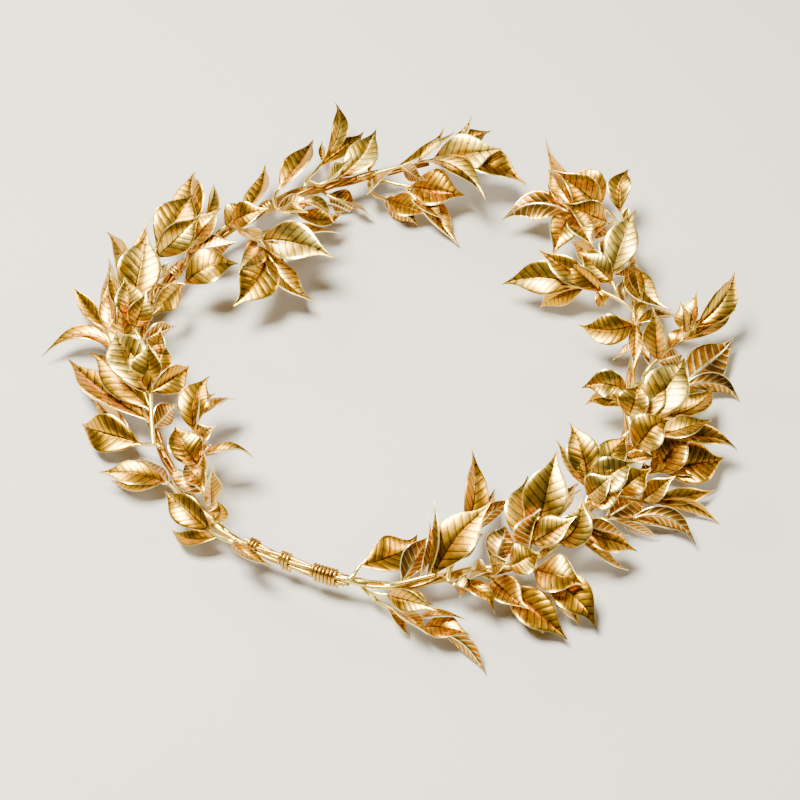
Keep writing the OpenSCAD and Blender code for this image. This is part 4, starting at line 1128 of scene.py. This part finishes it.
def gold_finish(name, pale, deep, under, shade, roughness, grain, bump):
    """A gilded metal with its own golds and its own grain."""
    finish, tree, shader = new_finish(name)
    link = tree.links.new
    gilding = add(tree, "ShaderNodeGroup", node_tree=GILDING)
    for socket, value in (("Pale Gold", pale), ("Deep Gold", deep), ("Under Painted Shade", under), ("Shade", shade),
                          ("Base Roughness", roughness)):
        gilding.inputs[socket].default_value = value
    link(gilding.outputs["Color"], shader.inputs["Base Color"])
    link(gilding.outputs["Roughness"], shader.inputs["Roughness"])
    link(gilding.outputs["Metallic"], shader.inputs["Metallic"])
    height = add(tree, "ShaderNodeGroup", node_tree=GRAIN)
    height.inputs["Scale"].default_value = grain
    relief = add(tree, "ShaderNodeBump", Strength=bump, Distance=0.0002)
    link(height.outputs["Height"], relief.inputs["Height"])
    link(relief.outputs["Normal"], shader.inputs["Normal"])
    return finish


def floor_finish():
    """A pale matt floor. Beyond the lamps' pool it glows a little, so that low views keep a pale distance."""
    finish, tree, shader = new_finish("pale_floor")
    shader.inputs["Base Color"].default_value = PALE_GREY
    shader.inputs["Roughness"].default_value = 0.75
    shader.inputs["Emission Color"].default_value = PALE_GREY
    place = add(tree, "ShaderNodeTexCoord")
    distance = add(tree, "ShaderNodeVectorMath", operation="LENGTH")
    glow = add(tree, "ShaderNodeMapRange", From_Min=0.45, From_Max=1.6, To_Max=DISTANCE_GLOW)
    tree.links.new(place.outputs["Object"], distance.inputs[0])
    tree.links.new(distance.outputs["Value"], glow.inputs["Value"])
    tree.links.new(glow.outputs["Result"], shader.inputs["Emission Strength"])
    return finish


GILDING = gilding_group()
GRAIN = grain_group()
LEAF_GOLD = gold_finish(
    "leaf_gilding", pale=(1, 0.9, 0.22, 1), deep=(0.62, 0.31, 0.007, 1), under=(0.36, 0.13, 0.004, 1),
    shade=(0.03, 0.007, 0.001, 1), roughness=0.19, grain=700, bump=0.25)
STEM_GOLD = gold_finish(
    "stem_gilding", pale=(1, 0.72, 0.12, 1), deep=(0.28, 0.1, 0.006, 1), under=(0.6, 0.28, 0.05, 1),
    shade=(0.15, 0.04, 0.01, 1), roughness=0.2, grain=500, bump=0.5)


# Everything is made, rides on the one body, and stands for its node

MASTER = finish_leaf(model_leaf())
MASTER_PLACE = coordinates(MASTER.data)


def settle(piece, material, slot, *replaced):
    piece.data.materials.clear()
    piece.data.materials.append(material)
    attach(piece, "root")
    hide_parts(*replaced)


for key, sprig in SPRIGS.items():
    piece = sprig_piece(f"sprig_{key}", sprig["twigs"], sprig["leaves"], key.split("_")[0])
    settle(piece, LEAF_GOLD, "leaf_gold", f"leaf_sprig_{key}")
for side in ("left", "right"):
    settle(stem_piece(f"main_stem_{side}", side), STEM_GOLD, "stem_gold", f"stem_{side}")
for label, (start, turns) in zip(("left", "middle", "right"), JOINT_WRAPS):
    piece = winding_piece(f"binding_{label}", STEM_RIGHT_ROWS, start, turns, STRAND_RISE)
    settle(piece, STEM_GOLD, "stem_gold", f"joint_wrap_{label}")
for label, rows, (start, turns) in zip(("left_lower", "left_upper", "right"),
                                       (STEM_LEFT_ROWS, STEM_LEFT_ROWS, STEM_RIGHT_ROWS), COLLAR_WRAPS):
    settle(winding_piece(f"ring_{label}", rows, start, turns, 0), STEM_GOLD, "stem_gold", f"collar_{label}")
bpy.data.objects.remove(MASTER)


# Floor, lights and camera

FLOOR_SIZE = 6
# Lamps: name, charted place, size in metres, watts and colour. They all look at the middle of the chart
LAMPS = [
    ["key", KEY_LAMP_PLACE, 0.26, 48, (1, 0.97, 0.83)],
    ["rim", (-420, 560, 420), 0.25, 7, (1, 0.93, 0.8)],
    ["side", (620, 160, 380), 0.2, 3, (1, 0.9, 0.72)]
]
# The camera's charted place and the charted point that it looks at
VIEW_FROM = [5.464, -356.598, 505.491]
VIEW_AT = [5.464, -12.452, 14.0]
LENS_MM = 75
FILM_MM = 36


def floor_piece():
    """The floor that the lowest leaf tips rest on."""
    deselect_all()
    bpy.ops.mesh.primitive_plane_add(size=FLOOR_SIZE, location=(0, 0, 0))
    floor = bpy.context.object
    floor.name = "floor"
    floor.data.materials.append(floor_finish())


def aimed(name, thing, place, aim):
    """A lamp or camera at a charted place, turned to a charted point."""
    held = bpy.data.objects.new(name, thing)
    bpy.context.scene.collection.objects.link(held)
    start, end = Vector(placed(place)), Vector(placed(aim))
    held.location = start
    held.rotation_euler = (end - start).to_track_quat("-Z", "Y").to_euler()
    return held


def lamp(name, place, size, watts, colour):
    """A soft square light."""
    light = bpy.data.lights.new(name, "AREA")
    light.shape = "SQUARE"
    light.size = size
    light.energy = watts
    light.color = colour
    aimed(name, light, place, (0, 0, 0))


def camera():
    """The view that the headband is seen in."""
    lens = bpy.data.cameras.new("view")
    lens.lens = LENS_MM
    lens.sensor_width = FILM_MM
    bpy.context.scene.camera = aimed("view", lens, VIEW_FROM, VIEW_AT)


def studio_world():
    """Dim warm light all round. Only the camera sees the pale backdrop beyond the floor."""
    world = bpy.data.worlds.new("studio")
    bpy.context.scene.world = world
    world.use_nodes = True
    tree = world.node_tree
    link = tree.links.new
    dim = tree.nodes["Background"]
    dim.inputs["Color"].default_value = (1, 0.8, 0.4, 1)
    dim.inputs["Strength"].default_value = 0.03
    backdrop = add(tree, "ShaderNodeBackground", Color=PALE_GREY, Strength=DISTANCE_GLOW)
    sight = add(tree, "ShaderNodeMixShader")
    link(add(tree, "ShaderNodeLightPath").outputs["Is Camera Ray"], sight.inputs["Fac"])
    link(dim.outputs["Background"], sight.inputs[1])
    link(backdrop.outputs["Background"], sight.inputs[2])
    link(sight.outputs["Shader"], tree.nodes["World Output"].inputs["Surface"])


floor_piece()
for details in LAMPS:
    lamp(*details)
camera()
studio_world()
